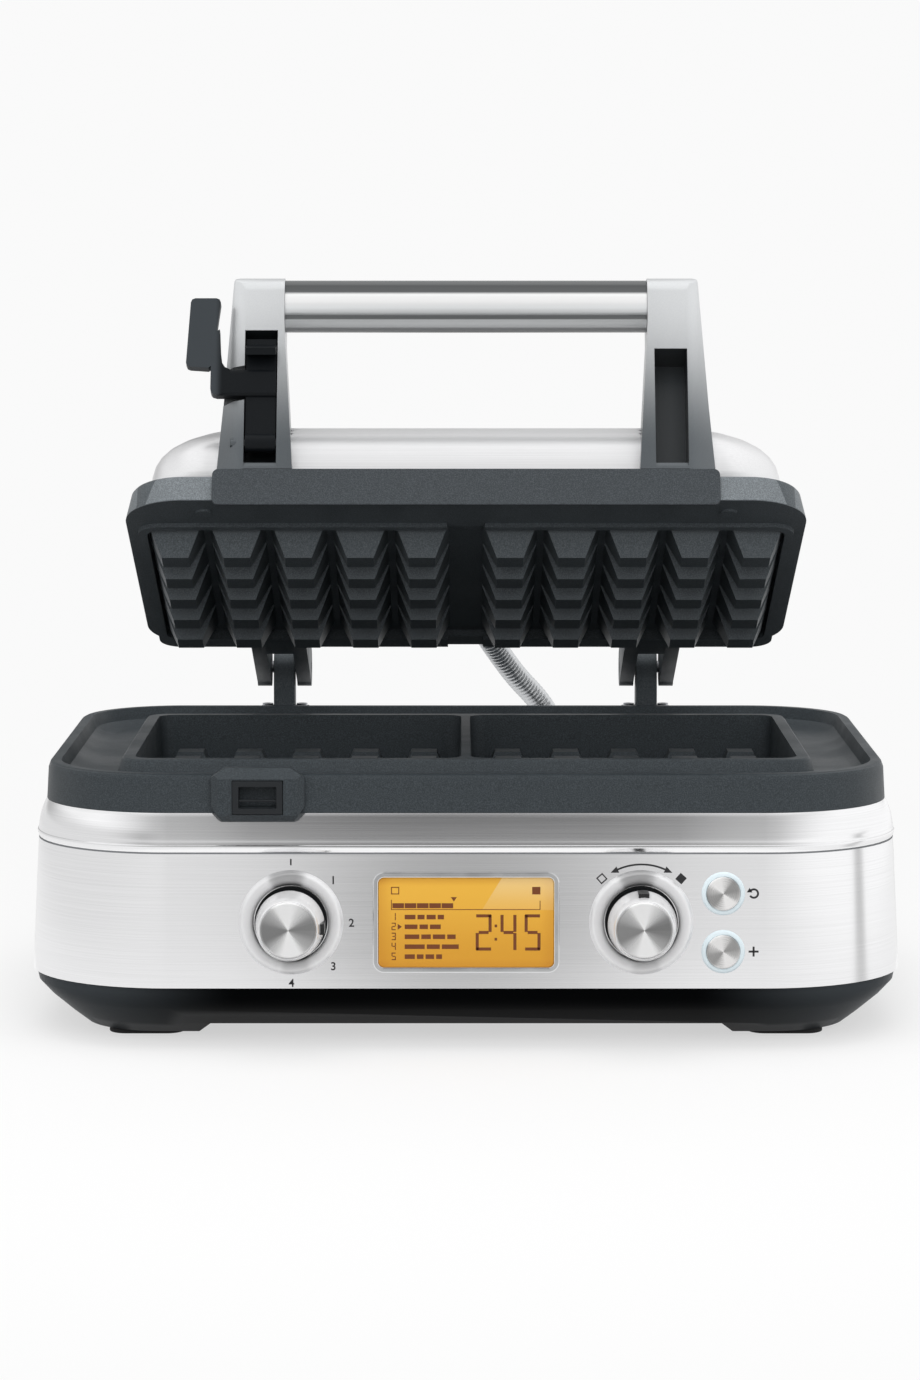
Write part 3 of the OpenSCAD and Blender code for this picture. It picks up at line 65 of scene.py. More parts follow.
class Value:
    """A number that differs over a surface. Python sums on it add Math nodes."""

    def __init__(self, finish, socket):
        self.finish, self.socket = finish, socket

    def sum(self, operation, first, second=0.0):
        return self.finish.sum_of(operation, first, second)

    def __add__(self, other): return self.sum("ADD", self, other)
    def __radd__(self, other): return self.sum("ADD", other, self)
    def __sub__(self, other): return self.sum("SUBTRACT", self, other)
    def __rsub__(self, other): return self.sum("SUBTRACT", other, self)
    def __mul__(self, other): return self.sum("MULTIPLY", self, other)
    def __rmul__(self, other): return self.sum("MULTIPLY", other, self)
    def __truediv__(self, other): return self.sum("DIVIDE", self, other)
    def __abs__(self): return self.sum("ABSOLUTE", self)
    def __gt__(self, other): return self.sum("GREATER_THAN", self, other)
    def __lt__(self, other): return self.sum("LESS_THAN", self, other)


def shade(red, green, blue):
    """A colour given as it looks on screen, 0 to 255, as the linear colour that a shader takes."""
    screen = (red, green, blue)
    linear = [(c / 255 / 12.92) if c < 11 else ((c / 255 + 0.055) / 1.055) ** 2.4 for c in screen]
    return (*linear, 1.0)


class Mixing:
    """The nodes of one material or world, added one by one."""

    def __init__(self, tree):
        self.tree = tree

    def node(self, kind, settings=None, sockets=None, output=0):
        """Adds a node, sets its settings and then its sockets, and gives back one output."""
        made = self.tree.nodes.new(kind)
        for key, value in (settings or {}).items():
            if key == "stops":
                elements = made.color_ramp.elements
                while len(elements) < len(value):
                    elements.new(0.5)
                for element, (position, color) in zip(elements, value):
                    element.position, element.color = position, color
            else:
                setattr(made, key, value)
        for key, value in (sockets or {}).items():
            self.feed(made.inputs[key], value)
        return Value(self, made.outputs[output])

    def feed(self, socket, value):
        """Links a value to a socket, or sets the socket to a plain number or colour."""
        if isinstance(value, Value):
            self.tree.links.new(value.socket, socket)
        else:
            socket.default_value = value

    def sum_of(self, operation, first, second=0.0):
        """One Math node, also for the sums that Python has no sign for."""
        return self.node("ShaderNodeMath", {"operation": operation}, {0: first, 1: second})

    def here(self):
        """Where a point is, in object coordinates."""
        return self.node("ShaderNodeTexCoord", output="Object")

    def spot(self, scale=(1, 1, 1)):
        """Where a point is, stretched along each axis."""
        return self.node("ShaderNodeMapping", {"vector_type": "POINT"}, {"Vector": self.here(), "Scale": scale})

    def axis(self, index, vector=None):
        """One of the three numbers of a vector, or of where a point is."""
        return self.node("ShaderNodeSeparateXYZ", None, {0: vector or self.here()}, output=index)

    def along(self, direction, start):
        """How far a point lies from a start, measured along a direction: a dot product."""
        far = self.node("ShaderNodeVectorMath", {"operation": "DOT_PRODUCT"},
                        {0: self.here(), 1: tuple(direction)}, output="Value")
        return far - float(np.dot(start, direction))

    def noise(self, vector, scale, detail=2.0, roughness=0.5):
        """A soft random number between 0 and 1."""
        return self.node("ShaderNodeTexNoise", {"noise_dimensions": "3D"},
                         {"Vector": vector, "Scale": scale, "Detail": detail, "Roughness": roughness})

    def ramp(self, factor, stops):
        """Colours set along a factor at the stops, each a position and a colour."""
        return self.node("ShaderNodeValToRGB", {"stops": stops}, {"Fac": factor})

    def spread(self, factor, low, high, to_low=0.0, to_high=1.0):
        """A soft step: to_low below low, to_high above high, and a smooth S between them."""
        return self.node("ShaderNodeMapRange", {"clamp": True, "interpolation_type": "SMOOTHSTEP"}, {
            "Value": factor, "From Min": low, "From Max": high, "To Min": to_low, "To Max": to_high})

    def mix(self, factor, first, second):
        """Two colours mixed. A Mix node takes them at sockets 6 and 7 and gives the result at output 2."""
        return self.node("ShaderNodeMix", {"data_type": "RGBA", "clamp_factor": True},
                         {0: factor, 6: first, 7: second}, output=2)


class Finish(Mixing):
    """A material being mixed: what is the same all over goes on the shader's sockets, the rest through nodes."""

    def __init__(self, name, color, roughness, metallic=0.0, **constants):
        self.material = bpy.data.materials.new(name)
        self.material.use_nodes = True
        super().__init__(self.material.node_tree)
        self.shader = self.tree.nodes["Principled BSDF"]
        given = {"Base Color": color, "Roughness": roughness, "Metallic": metallic}
        given.update({key.replace("_", " "): value for key, value in constants.items()})
        for socket, value in given.items():
            self.shader.inputs[socket].default_value = value

    def use(self, **links):
        """Links values to the shader's sockets, named with underscores for spaces."""
        for key, value in links.items():
            self.feed(self.shader.inputs[key.replace("_", " ")], value)
        return self

    def bump(self, height, distance, strength=1.0):
        """Makes the surface stand up where height is 1, by a distance in metres."""
        made = self.node("ShaderNodeBump", None, {"Height": height, "Distance": distance, "Strength": strength})
        return self.use(Normal=made)

    def drifting(self, scale, low, high, detail=2.0):
        """Lets the roughness drift between low and high with a noise."""
        drift = self.noise(self.spot(), scale, detail)
        return self.use(Roughness=self.spread(drift, 0.3, 0.7, low, high))


def dressed(node, body, finish, edge=0.0, steps=2, smooth=40, name=None):
    """Stands a copy of a CAD node in for it: its triangles joined into flat faces, edges rounded, one finish.
    A node with no rounded edges is shaded smooth over edges that turn less than smooth degrees."""
    same_spot, same_plane, least_bevelled = 1e-6, math.radians(1), math.radians(35)
    mesh = frame["nodes"][node].data.copy()
    work = bmesh.new()
    work.from_mesh(mesh)
    bmesh.ops.remove_doubles(work, verts=work.verts, dist=same_spot)
    bmesh.ops.dissolve_limit(work, angle_limit=same_plane, verts=work.verts, edges=work.edges)
    work.to_mesh(mesh)
    work.free()
    mesh.materials.clear()
    mesh.materials.append(finish.material)
    piece = bpy.data.objects.new(name or node + "_finished", mesh)
    bpy.context.scene.collection.objects.link(piece)
    for face in mesh.polygons:
        face.use_smooth = True
        face.material_index = 0
    if edge:
        bevel = piece.modifiers.new("edge", "BEVEL")
        bevel.width, bevel.segments = edge, steps
        bevel.limit_method, bevel.angle_limit = "ANGLE", least_bevelled
        bevel.use_clamp_overlap = True
    else:
        mesh.set_sharp_from_angle(angle=math.radians(smooth))
    even = piece.modifiers.new("even shading", "WEIGHTED_NORMAL")
    even.keep_sharp = True
    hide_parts(node)
    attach(piece, body)


def coat(node, finish):
    """Gives a CAD node, left as it is, a better material."""
    data = frame["nodes"][node].data
    data.materials.clear()
    data.materials.append(finish.material)


black_moulding = Finish("black moulding", shade(6, 7, 8), 0.34, Specular_IOR_Level=0.015)
spark = black_moulding.noise(black_moulding.spot(), 2600.0)
# Painted sheen: the black turns grey towards the tray's left and right ends, where the light catches it.
painted_corner_sheen = black_moulding.spread(abs(black_moulding.axis(0)), 0.1, 0.18)
black_moulding.use(Base_Color=black_moulding.mix(painted_corner_sheen, shade(3, 4, 5), shade(80, 85, 89)))
black_moulding.bump(spark, 0.00004, 0.5)
dressed("base_tray", "base", black_moulding, edge=0.0006)

foot_rubber = Finish("foot rubber", shade(24, 24, 25), 0.82)
foot_rubber.bump(foot_rubber.noise(foot_rubber.spot(), 1500.0), 0.00008, 0.6)
dressed("foot_pads", "base", foot_rubber, edge=0.0005)

zinc = Finish("zinc plating", shade(178, 180, 184), 0.32, 1.0).drifting(300.0, 0.25, 0.42, detail=4.0)
for screws in ("tray_screws", "hinge_post_screws", "lid_hinge_screws"):
    coat(screws, zinc)


# ---- Side panel and shoulder ----
# One strip of brushed steel wraps the body and leans out a little towards its foot. Above it sits a pressed
# shoulder with a rolled bead along the seam. Both are about a millimetre and a half thick.

panel_low, panel_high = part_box("side_panel")
foot_out = 8 * mm
rim_front, rim_back = panel_low.y + foot_out, panel_high.y - foot_out
rim_half, rim_front_corner, rim_back_corner = 188.5 * mm, 57 * mm, 48 * mm


def toned(color, by):
    """A colour made darker or lighter by a factor, and never brighter than white."""
    return tuple(min(1.0, c * by) for c in color[:3]) + (1.0,)


def brushed(name, color, roughness, fine=(9, 9, 4200), metallic=1.0):
    """Brushed metal: noise drawn out along the brush lines shifts the colour, the roughness and the surface."""
    finish = Finish(name, color, roughness, metallic)
    lines = finish.noise(finish.spot(scale=fine), 1.0, 3.0, 0.7)
    cloud = finish.noise(finish.spot(), 14.0)
    finish.use(Base_Color=finish.mix(finish.spread(lines, 0.3, 0.7), toned(color, 0.95), toned(color, 1.03)))
    finish.use(Roughness=lines * 0.06 + cloud * 0.03 + (roughness - 0.045))
    finish.bump(lines, 0.00001, 0.05)
    return finish


def polar(radius, angle):
    """Flat points at a radius and at angles from the right-hand side: the radius times their cosine and
    sine."""
    return radius * np.stack([np.cos(angle), np.sin(angle)], -1)


def rounded(half_width, front, back, front_radius, back_radius, corner=18, side=6):
    """A rounded rectangle seen from above, against the clock: four quarter circles joined by straight sides,
    each side cut in equal steps, so that outlines of any size have the same count of points."""
    quarter = np.linspace(0, math.pi / 2, corner)
    corners = ((1, front, front_radius, 270), (1, back, -back_radius, 0), (-1, back, -back_radius, 90),
               (-1, front, front_radius, 180))
    arcs = [np.array([sign * (half_width - abs(radius)), edge + radius])
            + polar(abs(radius), quarter + math.radians(start)) for sign, edge, radius, start in corners]
    step = np.linspace(0, 1, side + 2)[1:-1, None]
    whole = []
    for arc, next_arc in zip(arcs, arcs[1:] + arcs[:1]):
        whole += [arc, arc[-1] + step * (next_arc[0] - arc[-1])]
    return np.concatenate(whole)


def rim_ring(grow, height):
    """The body's outline grown by grow, at a height, both in metres."""
    flat = rounded(rim_half + grow, rim_front - grow, rim_back + grow, rim_front_corner + grow,
                   rim_back_corner + grow)
    return np.column_stack([flat, np.full(len(flat), height)])


def finished(name, mesh, finish, body, sharp=38, outward=True):
    """Merges a mesh's doubles, turns its faces outwards, shades it smooth between edges that turn more than
    sharp degrees, and sets it riding on a body."""
    same_spot, no_length = 2e-6, 1e-7
    work = bmesh.new()
    work.from_mesh(mesh)
    bmesh.ops.remove_doubles(work, verts=work.verts, dist=same_spot)
    bmesh.ops.dissolve_degenerate(work, edges=work.edges, dist=no_length)
    if outward:
        bmesh.ops.recalc_face_normals(work, faces=work.faces)
    work.to_mesh(mesh)
    work.free()
    mesh.materials.append(finish.material)
    for face in mesh.polygons:
        face.use_smooth = True
    mesh.set_sharp_from_angle(angle=math.radians(sharp))
    piece = bpy.data.objects.new(name, mesh)
    bpy.context.scene.collection.objects.link(piece)
    if body:
        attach(piece, body)
    return piece


def shell(name, rings, finish, body, start="open", end="open", sharp=38, outward=True):
    """A surface over a grid of points, ring by ring, closed around each ring. An end may be open, a flat face,
    or joined to the other end. The mesh is merged and its faces turned outwards."""
    rings = np.asarray(rings, float)
    count, across = rings.shape[:2]
    index = np.arange(count * across).reshape(count, across)
    if end == "joined":
        index = np.concatenate([index, index[:1]])
    index = np.concatenate([index, index[:, :1]], 1)
    quads = np.stack([index[:-1, :-1], index[:-1, 1:], index[1:, 1:], index[1:, :-1]], -1).reshape(-1, 4)
    faces = quads.tolist()
    if start == "face":
        faces.append(index[0, :-1][::-1].tolist())
    if end == "face":
        faces.append(index[-1, :-1].tolist())
    mesh = bpy.data.meshes.new(name)
    mesh.from_pydata(rings.reshape(-1, 3).tolist(), [], faces)
    return finished(name, mesh, finish, body, sharp, outward)


panel_steel = brushed("brushed panel steel", shade(249, 249, 250), 0.14)
dressed("side_panel", "base", panel_steel, smooth=38)

# The shoulder's section, in millimetres: how far it stands out from the rim, and its height.
bead = [(3.4, 86.0), (5.0, 86.0), (4.94, 87.2), (4.5, 87.3), (4.5, 87.7), (4.75, 87.85), (5.0, 88.3),
        (5.45, 90.0), (5.5, 90.5), (5.35, 90.95), (4.95, 91.2)]
swell = [(1 + 3.9 * (1 - t ** 2) ** 0.9, 89.8 + 15.1 * t) for t in np.linspace(0.12, 1, 14)]
lining = [(swell[-1][0] - 1.4, 104.9)] + [(out - 1.5, up) for out, up in swell[::-3]]
shoulder_rings = [rim_ring(out * mm, up * mm) for out, up in bead + swell + lining]
shoulder = shell("shoulder", shoulder_rings, panel_steel, "base", end="joined", sharp=30)
seam_shadow = Finish("seam shadow", shade(140, 142, 145), 0.6)
shoulder.data.materials.append(seam_shadow.material)
groove_low, groove_high = 87.25 * mm, 87.75 * mm
for face in shoulder.data.polygons:
    face.material_index = int(groove_low < face.center.z < groove_high)
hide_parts("shoulder_cover")


# ---- Lower plate ----
# A heavy aluminium casting with a rim, a moat that catches spilt batter, a raised lip and two grids of teeth.
# It has a dark, finely grained non-stick coating with slightly paler flecks.

def flecked(finish, dark, pale):
    """The coating's grain, and the colour that it gives: a dark paint with paler flecks."""
    grain = finish.noise(finish.spot(), 2100.0, 3.0, 0.6)
    return grain, finish.mix(finish.spread(grain, 0.35, 0.75), dark, pale)


def coated(name, color):
    """The casting's coating: flecked, dulled in clouds and pebbled all over."""
    finish = Finish(name, color, 0.46, 0.2, Specular_IOR_Level=0.3)
    grain, flecked_color = flecked(finish, toned(color, 0.72), toned(color, 1.5))
    finish.use(Base_Color=flecked_color).drifting(26.0, 0.4, 0.54, detail=3.0)
    finish.bump(grain, 0.00006, 0.55)
    return finish


casting = coated("grained coating", shade(63, 69, 73))
dressed("lower_plate", "base", casting, edge=0.0006)


# ---- Catch ----
# A black moulded frame pressed into the window of the casting's catch block, with a bar that the latch's nose
# hooks under.

catch_black = Finish("catch moulding", shade(34, 37, 40), 0.38, Specular_IOR_Level=0.3)
catch_black.bump(catch_black.noise(catch_black.spot(), 2400.0), 0.00003, 0.5)
dressed("catch_insert", "base", catch_black, edge=0.0004)


# ---- Display ----
# A chromed frame holds an amber screen; the clear lens over it is hidden and not drawn. The screen shows a bar
# of shades, a list of five settings and the time left, all in dark segments.

def joint(name):
    """A joint of the part, by name."""
    return next(j for j in frame["joints"] if j["name"] == name)


panel_out = np.array(joint("mode_dial_turn")["axis"])
panel_up = np.array([0, -panel_out[2] * np.sign(panel_out[1]), abs(panel_out[1])])
panel_right = np.array([1.0, 0, 0])
dial_place = np.array(joint("mode_dial_turn")["pos_m"])
display_place = dial_place * np.array([0, 1, 1])


def on_panel(points, place):
    """Points given in millimetres to the right, up the panel and out of it, set at a place on the panel."""
    points = np.asarray(points, float) * mm
    return place + points[..., :1] * panel_right + points[..., 1:2] * panel_up + points[..., 2:] * panel_out


def prisms(name, outlines, low, high, place, finish, body):
    """Flat shapes of one thickness: each outline, in millimetres on the panel, is drawn out from low to
    high."""
    points, faces = [], []
    for outline in outlines:
        outline = np.asarray(outline, float)
        n, base = len(outline), sum(len(p) for p in points)
        for height in (low, high):
            points.append(np.column_stack([outline, np.full(n, height)]))
        around = np.arange(n)
        after = (around + 1) % n
        faces += [(base + around[::-1]).tolist(), (base + n + around).tolist()]
        faces += np.stack([base + around, base + after, base + n + after, base + n + around], 1).tolist()
    mesh = bpy.data.meshes.new(name)
    mesh.from_pydata(on_panel(np.concatenate(points), place).tolist(), [], faces)
    return finished(name, mesh, finish, body)


def bar(x0, y0, x1, y1):
    """The outline of an upright rectangle, from its lower left corner to its upper right one."""
    return [(x0, y0), (x1, y0), (x1, y1), (x0, y1)]


frame_chrome = Finish("display chrome", shade(228, 229, 230), 0.12, 1.0).drifting(60.0, 0.08, 0.18)
dressed("display_frame", "base", frame_chrome, edge=0.0005, steps=3)

screen_half_width, screen_half_height, screen_corner = 38.45, 19.65, 2.3
screen_back, screen_face, segment_face = -1.1, 0.4, 0.46
screen_outline = rounded(screen_half_width, -screen_half_height, screen_half_height, screen_corner,
                         screen_corner, corner=8, side=0)
amber = Finish("amber screen", shade(226, 172, 84), 0.35, Emission_Strength=0.12, Coat_Weight=0.2,
               Coat_Roughness=0.04, Specular_IOR_Level=0.2)
# Painted light and shade on the screen: it is paler towards its top and darker near its edges as painted shade
# under the frame, and a painted glare of the lens lies over its upper right. The glare glows with the screen.
across, height = amber.axis(0), amber.axis(2) - float(display_place[2])
glare_low, glare_slope = 0.0055, 0.62
lit = amber.mix(amber.spread(height, -0.019, 0.019), shade(222, 160, 54), shade(242, 186, 72))
painted_frame_shade = amber.spread(abs(across), 0.031, 0.0385) + amber.spread(abs(height), 0.0155, 0.0195)
lit = amber.mix(painted_frame_shade * 0.35, lit, shade(196, 128, 44))
painted_glare = (across - height * glare_slope > 0.0035) * (height > glare_low)
painted_glare_fade = amber.spread(height, glare_low, 0.019, 0.25, 0.75) * painted_glare
lit = amber.mix(painted_glare_fade * 0.6, lit, shade(246, 226, 176))
amber.use(Base_Color=lit, Emission_Color=lit)
screen = prisms("screen", [screen_outline], screen_back, screen_face, display_place, amber, "base")
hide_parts("display_lens")

lit_segments = {"1": "bc", "2": "abged", "3": "abgcd", "4": "fgbc", "5": "afgcd"}


def digit(number, x, y, width, height, stroke):
    """A seven-segment digit as bars, its lower left corner at x, y, with small gaps between them."""
    t, w, h, gap = stroke, width, height, stroke * 0.18
    bars = {"a": bar(gap, h - t, w - gap, h), "b": bar(w - t, h / 2 + gap, w, h - gap),
            "c": bar(w - t, gap, w, h / 2 - gap), "d": bar(gap, 0, w - gap, t),
            "e": bar(0, gap, t, h / 2 - gap), "f": bar(0, h / 2 + gap, t, h - gap),
            "g": bar(t, h / 2 - t / 2, w - t, h / 2 + t / 2)}
    return [np.array(bars[part]) + (x, y) for part in lit_segments[number]]


# The shade scale: a line with a tick at each end, five filled cells and a pointer.
marks = [bar(-33, 5.55, 32.6, 5.85), bar(-33, 5.55, -32.65, 10), bar(32.3, 5.55, 32.65, 9.6)]
marks += [bar(-32.4 + 5.4 * i, 6.3, -32.4 + 5.4 * i + 5.1, 8.5) for i in range(5)]
marks.append([(-6.7, 11.2), (-5.4, 9.2), (-4.1, 11.2)])
# The list of settings: each row has its figure and a few bars of different lengths that end at one place.
row_start, bar_gap, word_lengths = -27, 0.9, np.array([5.2, 3.4, 4.4, 3.0])
for number, y, row_end in ((1, 2.4, -10), (2, -1.9, -11), (3, -6.3, -4), (4, -10.7, -2), (5, -15.1, -11)):
    marks += digit(str(number), -32.8, y - 1.5, 1.9, 3.3, 0.42)
    lengths = word_lengths[: 3 + number % 2]
    x = row_start
    for length in lengths * (row_end - row_start) / (lengths.sum() + bar_gap * (len(lengths) - 1)):
        marks.append(bar(x, y - 1.0, x + length, y + 1.0))
        x += length + bar_gap
marks.append([(-30.1, -3.2), (-28.2, -1.9), (-30.1, -0.6)])
# Squares for light and dark at the top, then the time left.
marks += [bar(-33, 12.4, -29.4, 12.8), bar(-33, 15.3, -29.4, 15.7), bar(-33, 12.4, -32.6, 15.7),
          bar(-29.8, 12.4, -29.4, 15.7), bar(29, 12.4, 32.6, 15.7)]
for number, x in (("2", 4.2), ("4", 15.1), ("5", 25.7)):
    marks += digit(number, x, -12.4, 7.0, 16, 1.35)
marks += [bar(12.5, -2.1, 13.6, -0.9), bar(12.5, -8, 13.6, -6.8)]
segment_brown = Finish("screen segments", shade(122, 66, 30), 0.5).drifting(900.0, 0.42, 0.6)
prisms("screen_marks", marks, screen_face, segment_face, display_place, segment_brown, "base")


# ---- Dials ----
# Each dial is a spun aluminium knob that stands in a dished ring pressed to the panel. A black pointer is let
# into the knob's edge. The left dial picks one of four numbers, the right one the shade.

def turned(name, profile, place, finish, body, sides=96):
    """A turned piece: a profile of radius and height, in millimetres, spun about the panel's outward
    direction."""
    profile = np.asarray(profile, float)
    angle = np.linspace(0, 2 * math.pi, sides, endpoint=False)
    rings = np.stack([profile[:, :1] * np.cos(angle), profile[:, :1] * np.sin(angle),
                      np.repeat(profile[:, 1:], sides, 1)], -1)
    return shell(name, on_panel(rings, place), finish, body, sharp=30)


def softened(profile, cuts=2):
    """Corner cutting on an open profile: each step sets points at a quarter and three quarters of every side.
    An end that starts on the axis stays there."""
    profile = np.asarray(profile, float)
    for _ in range(cuts):
        before, after = profile[:-1], profile[1:]
        quarters = np.stack([before * 0.75 + after * 0.25, before * 0.25 + after * 0.75], 1)
        profile = np.concatenate([profile[:1], quarters.reshape(-1, 2), profile[-1:]])
    return profile


def spun(name, place, color, bright_at, roughness, deep, fan, white, painted_streak=0.0):
    """Spun metal: rings about an axis at a place, with bright and dark fans painted into its colour as painted
    reflections of a spun face. The fans follow the cosine of twice the angle round the axis, are brightest at
    bright_at degrees and run from dark to bright over the two numbers of fan. Deep is how dark they get. White
    lets the brightest fans scatter light instead of mirroring it, a painted highlight, and painted_streak adds
    one narrow dark fan a little above the right-hand side, a painted reflection."""
    painted_streak_at = math.radians(9)
    finish = Finish(name, color, roughness, 1.0)
    right = finish.axis(0) - float(place[0])
    up = finish.along(panel_up, place)
    angle = finish.sum_of("ARCTAN2", up, right)
    radius = finish.sum_of("SQRT", right * right + up * up)
    turned_by = angle - math.radians(bright_at)
    fans = finish.sum_of("COSINE", turned_by * 2.0)
    slight = finish.sum_of("SINE", turned_by * 6.0 + 1.0) * 0.2
    share = finish.spread(fans + slight, *fan)
    share = share - finish.spread(abs(angle - painted_streak_at), 0.03, 0.17, painted_streak, 0.0)
    ring = finish.noise(finish.node("ShaderNodeCombineXYZ", None, {0: radius * 5200.0}), 1.0)
    finish.use(Base_Color=finish.mix(share * 0.9 + ring * 0.1, toned(color, deep), color))
    finish.use(Roughness=ring * 0.16 + (roughness - 0.08))
    finish.use(Metallic=1.0 - finish.spread(share, 0.35, 1.0, 0.0, white))
    finish.bump(ring, 0.00002, 0.3)
    return finish


print_black = Finish("printed marks", shade(38, 38, 40), 0.5).drifting(1200.0, 0.4, 0.6)
pointer_black = Finish("pointer black", shade(20, 20, 22), 0.3).drifting(900.0, 0.22, 0.4)
ring_profile = softened([(16.45, 0.02), (16.45, 1.9), (16.9, 2.45), (18.8, 2.75), (20.8, 2.7), (21.7, 2.3),
                         (22.8, 0.9), (23.0, 0.4), (23.0, 0.02)])
skirt_profile = softened([(0, 0.95), (15.8, 0.95), (16.05, 1.5), (15.9, 1.9), (13.9, 2.1), (15.0, 10.2),
                          (14.4, 10.4), (0, 10.4)])
barrel_profile = softened([(0, 10.3), (15.15, 10.3), (15.25, 11.2), (14.0, 26.2), (13.6, 28.4), (13.1, 30.5),
                           (12.6, 31.2), (12.3, 30.7), (0, 30.7)], cuts=3)
disc_profile = softened([(0, 31.62), (2.4, 31.66), (10.9, 31.9), (11.7, 31.95), (12.1, 31.6), (12.15, 30.8)])
pointer_low, pointer_high = 12.0, 27.2
dials = (("mode", "mode_dial_turn", "mode_dial", -90.0), ("shade", "shade_dial_turn", "shade_dial", 0.0))


def rotated(points, angle):
    """Flat points turned about the origin, against the clock: sums of their cosine and sine shares."""
    c, s = math.cos(angle), math.sin(angle)
    return np.asarray(points, float) @ np.array([[c, s], [-s, c]])


for dial, turn_name, dial_body, pointing in dials:
    place = np.array(joint(turn_name)["pos_m"])
    # Painted reflections: the ring's fans darken it at its top and bottom, and the face's fans darken its sides.
    ring_steel = spun(dial + " ring metal", place, shade(250, 250, 251), 3.0, 0.42, 0.62, (-1.0, -0.35), 0.4)
    ring = turned(dial + "_ring", ring_profile, place, ring_steel, "base")
    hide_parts(dial + "_dial_ring")

    # Painted shade: the skirt below the chrome barrel is black and stands for the dark gap between the ring and
    # the knob.
    skirt_black = Finish(dial + " skirt black", shade(16, 18, 20), 0.4, Specular_IOR_Level=0.12)
    skirt_black.drifting(700.0, 0.34, 0.46)
    turned(dial + "_knob_skirt", skirt_profile, place, skirt_black, dial_body)
    knob_chrome = Finish(dial + " knob chrome", shade(252, 252, 253), 0.14, 0.35).drifting(90.0, 0.1, 0.2)
    knob = turned(dial + "_knob_barrel", barrel_profile, place, knob_chrome, dial_body)
    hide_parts(dial + "_knob")

    face_metal = spun(dial + " face metal", place, shade(250, 250, 250), 94.0, 0.24, 0.3, (-0.9, 0.9), 1.0,
                      painted_streak=0.55)
    face = turned(dial + "_face", disc_profile, place, face_metal, dial_body)
    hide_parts(dial + "_knob_face")

    pointer = rotated(bar(-2.3, 12.5, 2.3, 15.5), math.radians(pointing))
    prisms(dial + "_pointer", [pointer], pointer_low, pointer_high, place, pointer_black, dial_body)


def printed(name, text, x, y, size, place):
    """One printed figure, centred at x, y in millimetres: a font outline made a mesh, then laid on the
    panel."""
    curve = bpy.data.curves.new(name, "FONT")
    curve.body, curve.size, curve.align_x, curve.align_y = text, size, "CENTER", "CENTER"
    curve.extrude, curve.offset = 0.02, 0.09
    holder = bpy.data.objects.new(name + "_outline", curve)
    mesh = bpy.data.meshes.new_from_object(holder)
    bpy.data.objects.remove(holder)
    points = np.empty(len(mesh.vertices) * 3)
    mesh.vertices.foreach_get("co", points)
    points = points.reshape(-1, 3) + (x, y, 0.05)
    mesh.vertices.foreach_set("co", on_panel(points, place).ravel())
    mesh.update()
    finished(name, mesh, print_black, "base")


def inked(name, outlines, place):
    """Flat marks printed on the panel: prisms a twentieth of a millimetre thick."""
    prisms(name, outlines, 0.03, 0.08, place, print_black, "base")


shade_place = np.array(joint("shade_dial_turn")["pos_m"])
for figure, x, y in (("1", 18.6, 18.4), ("2", 26.6, -0.4), ("3", 18.6, -19.6), ("4", 0.2, -27.0)):
    printed("figure_" + figure, figure, x, y, 5.0, dial_place)
inked("mode_start_mark", [bar(-0.35, 25.2, 0.35, 28.0)], dial_place)

# An arc with an arrowhead at each end stands over the shade dial, between a hollow square and a filled one.
arc_reach, patch_reach, patch_radius = 24, 42, 26.0
arc_angle = np.radians(np.linspace(90 - arc_reach, 90 + arc_reach, 25))
arc = np.concatenate([polar(25.95, arc_angle), polar(25.15, arc_angle[::-1])])
arrows = []
for side in (-1, 1):
    angle = math.radians(90 - side * arc_reach)
    ahead = np.array([math.sin(angle), -math.cos(angle)]) * side
    out = polar(1.0, angle)
    end = 25.5 * out
    arrows.append(np.array([end - out * 1.5, end + ahead * 3.5, end + out * 1.5])[::side])
inked("shade_arc", [arc[::-1]] + arrows, shade_place)
half, inside = 1.8, 1.25
hollow = [bar(-half, -half, half, -inside), bar(-half, inside, half, half), bar(-half, -half, -inside, half),
          bar(inside, -half, half, half)]
patches = []
for side, squares in ((-1, hollow), (1, [bar(-half, -half, half, half)])):
    angle = math.radians(90 - side * patch_reach)
    patches += [rotated(square, angle - math.pi / 2) + polar(patch_radius, angle) for square in squares]
inked("shade_patches", patches, shade_place)


# ---- Buttons ----
# Two spun steel caps stand in clear rings that are lit from behind in a cold white. Beside each a small mark is
# printed on the panel: a loop with an arrowhead, and a plus.

button_x, mark_x, upper_key, lower_key = 113.0, 126.4, 12.72, -12.92
cap_profile = softened([(0, -3.4), (7.4, -3.4), (7.45, 1.5), (7.35, 2.0), (6.9, 2.2), (2.2, 1.95), (0, 1.9)])
halo_profile = softened([(7.5, 0.0), (7.5, 0.9), (7.8, 1.1), (9.0, 1.0), (9.55, 0.5), (9.6, 0.02)])
for key, key_up, cap_node in (("upper", upper_key, "upper_button"), ("lower", lower_key, "lower_button")):
    place = display_place + panel_right * button_x * mm + panel_up * key_up * mm
    # Painted reflections: the caps carry the same painted fans of light and dark.
    cap_metal = spun(key + " button metal", place, shade(250, 249, 248), 118.0, 0.28, 0.4, (-0.9, 0.85), 1.0)
    button = turned(key + "_cap", cap_profile, place, cap_metal, key + "_key", sides=64)
    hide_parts(cap_node)
    glow = Finish(key + " ring light", shade(218, 230, 235), 0.3, Emission_Strength=0.2)
    tint = glow.noise(glow.spot(), 240.0)
    glow.use(Emission_Color=glow.mix(tint, shade(206, 226, 234), shade(236, 244, 248)))
    light_ring = turned(key + "_light_ring", halo_profile, place, glow, "base", sides=64)
    if key == "upper":
        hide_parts("button_halos")

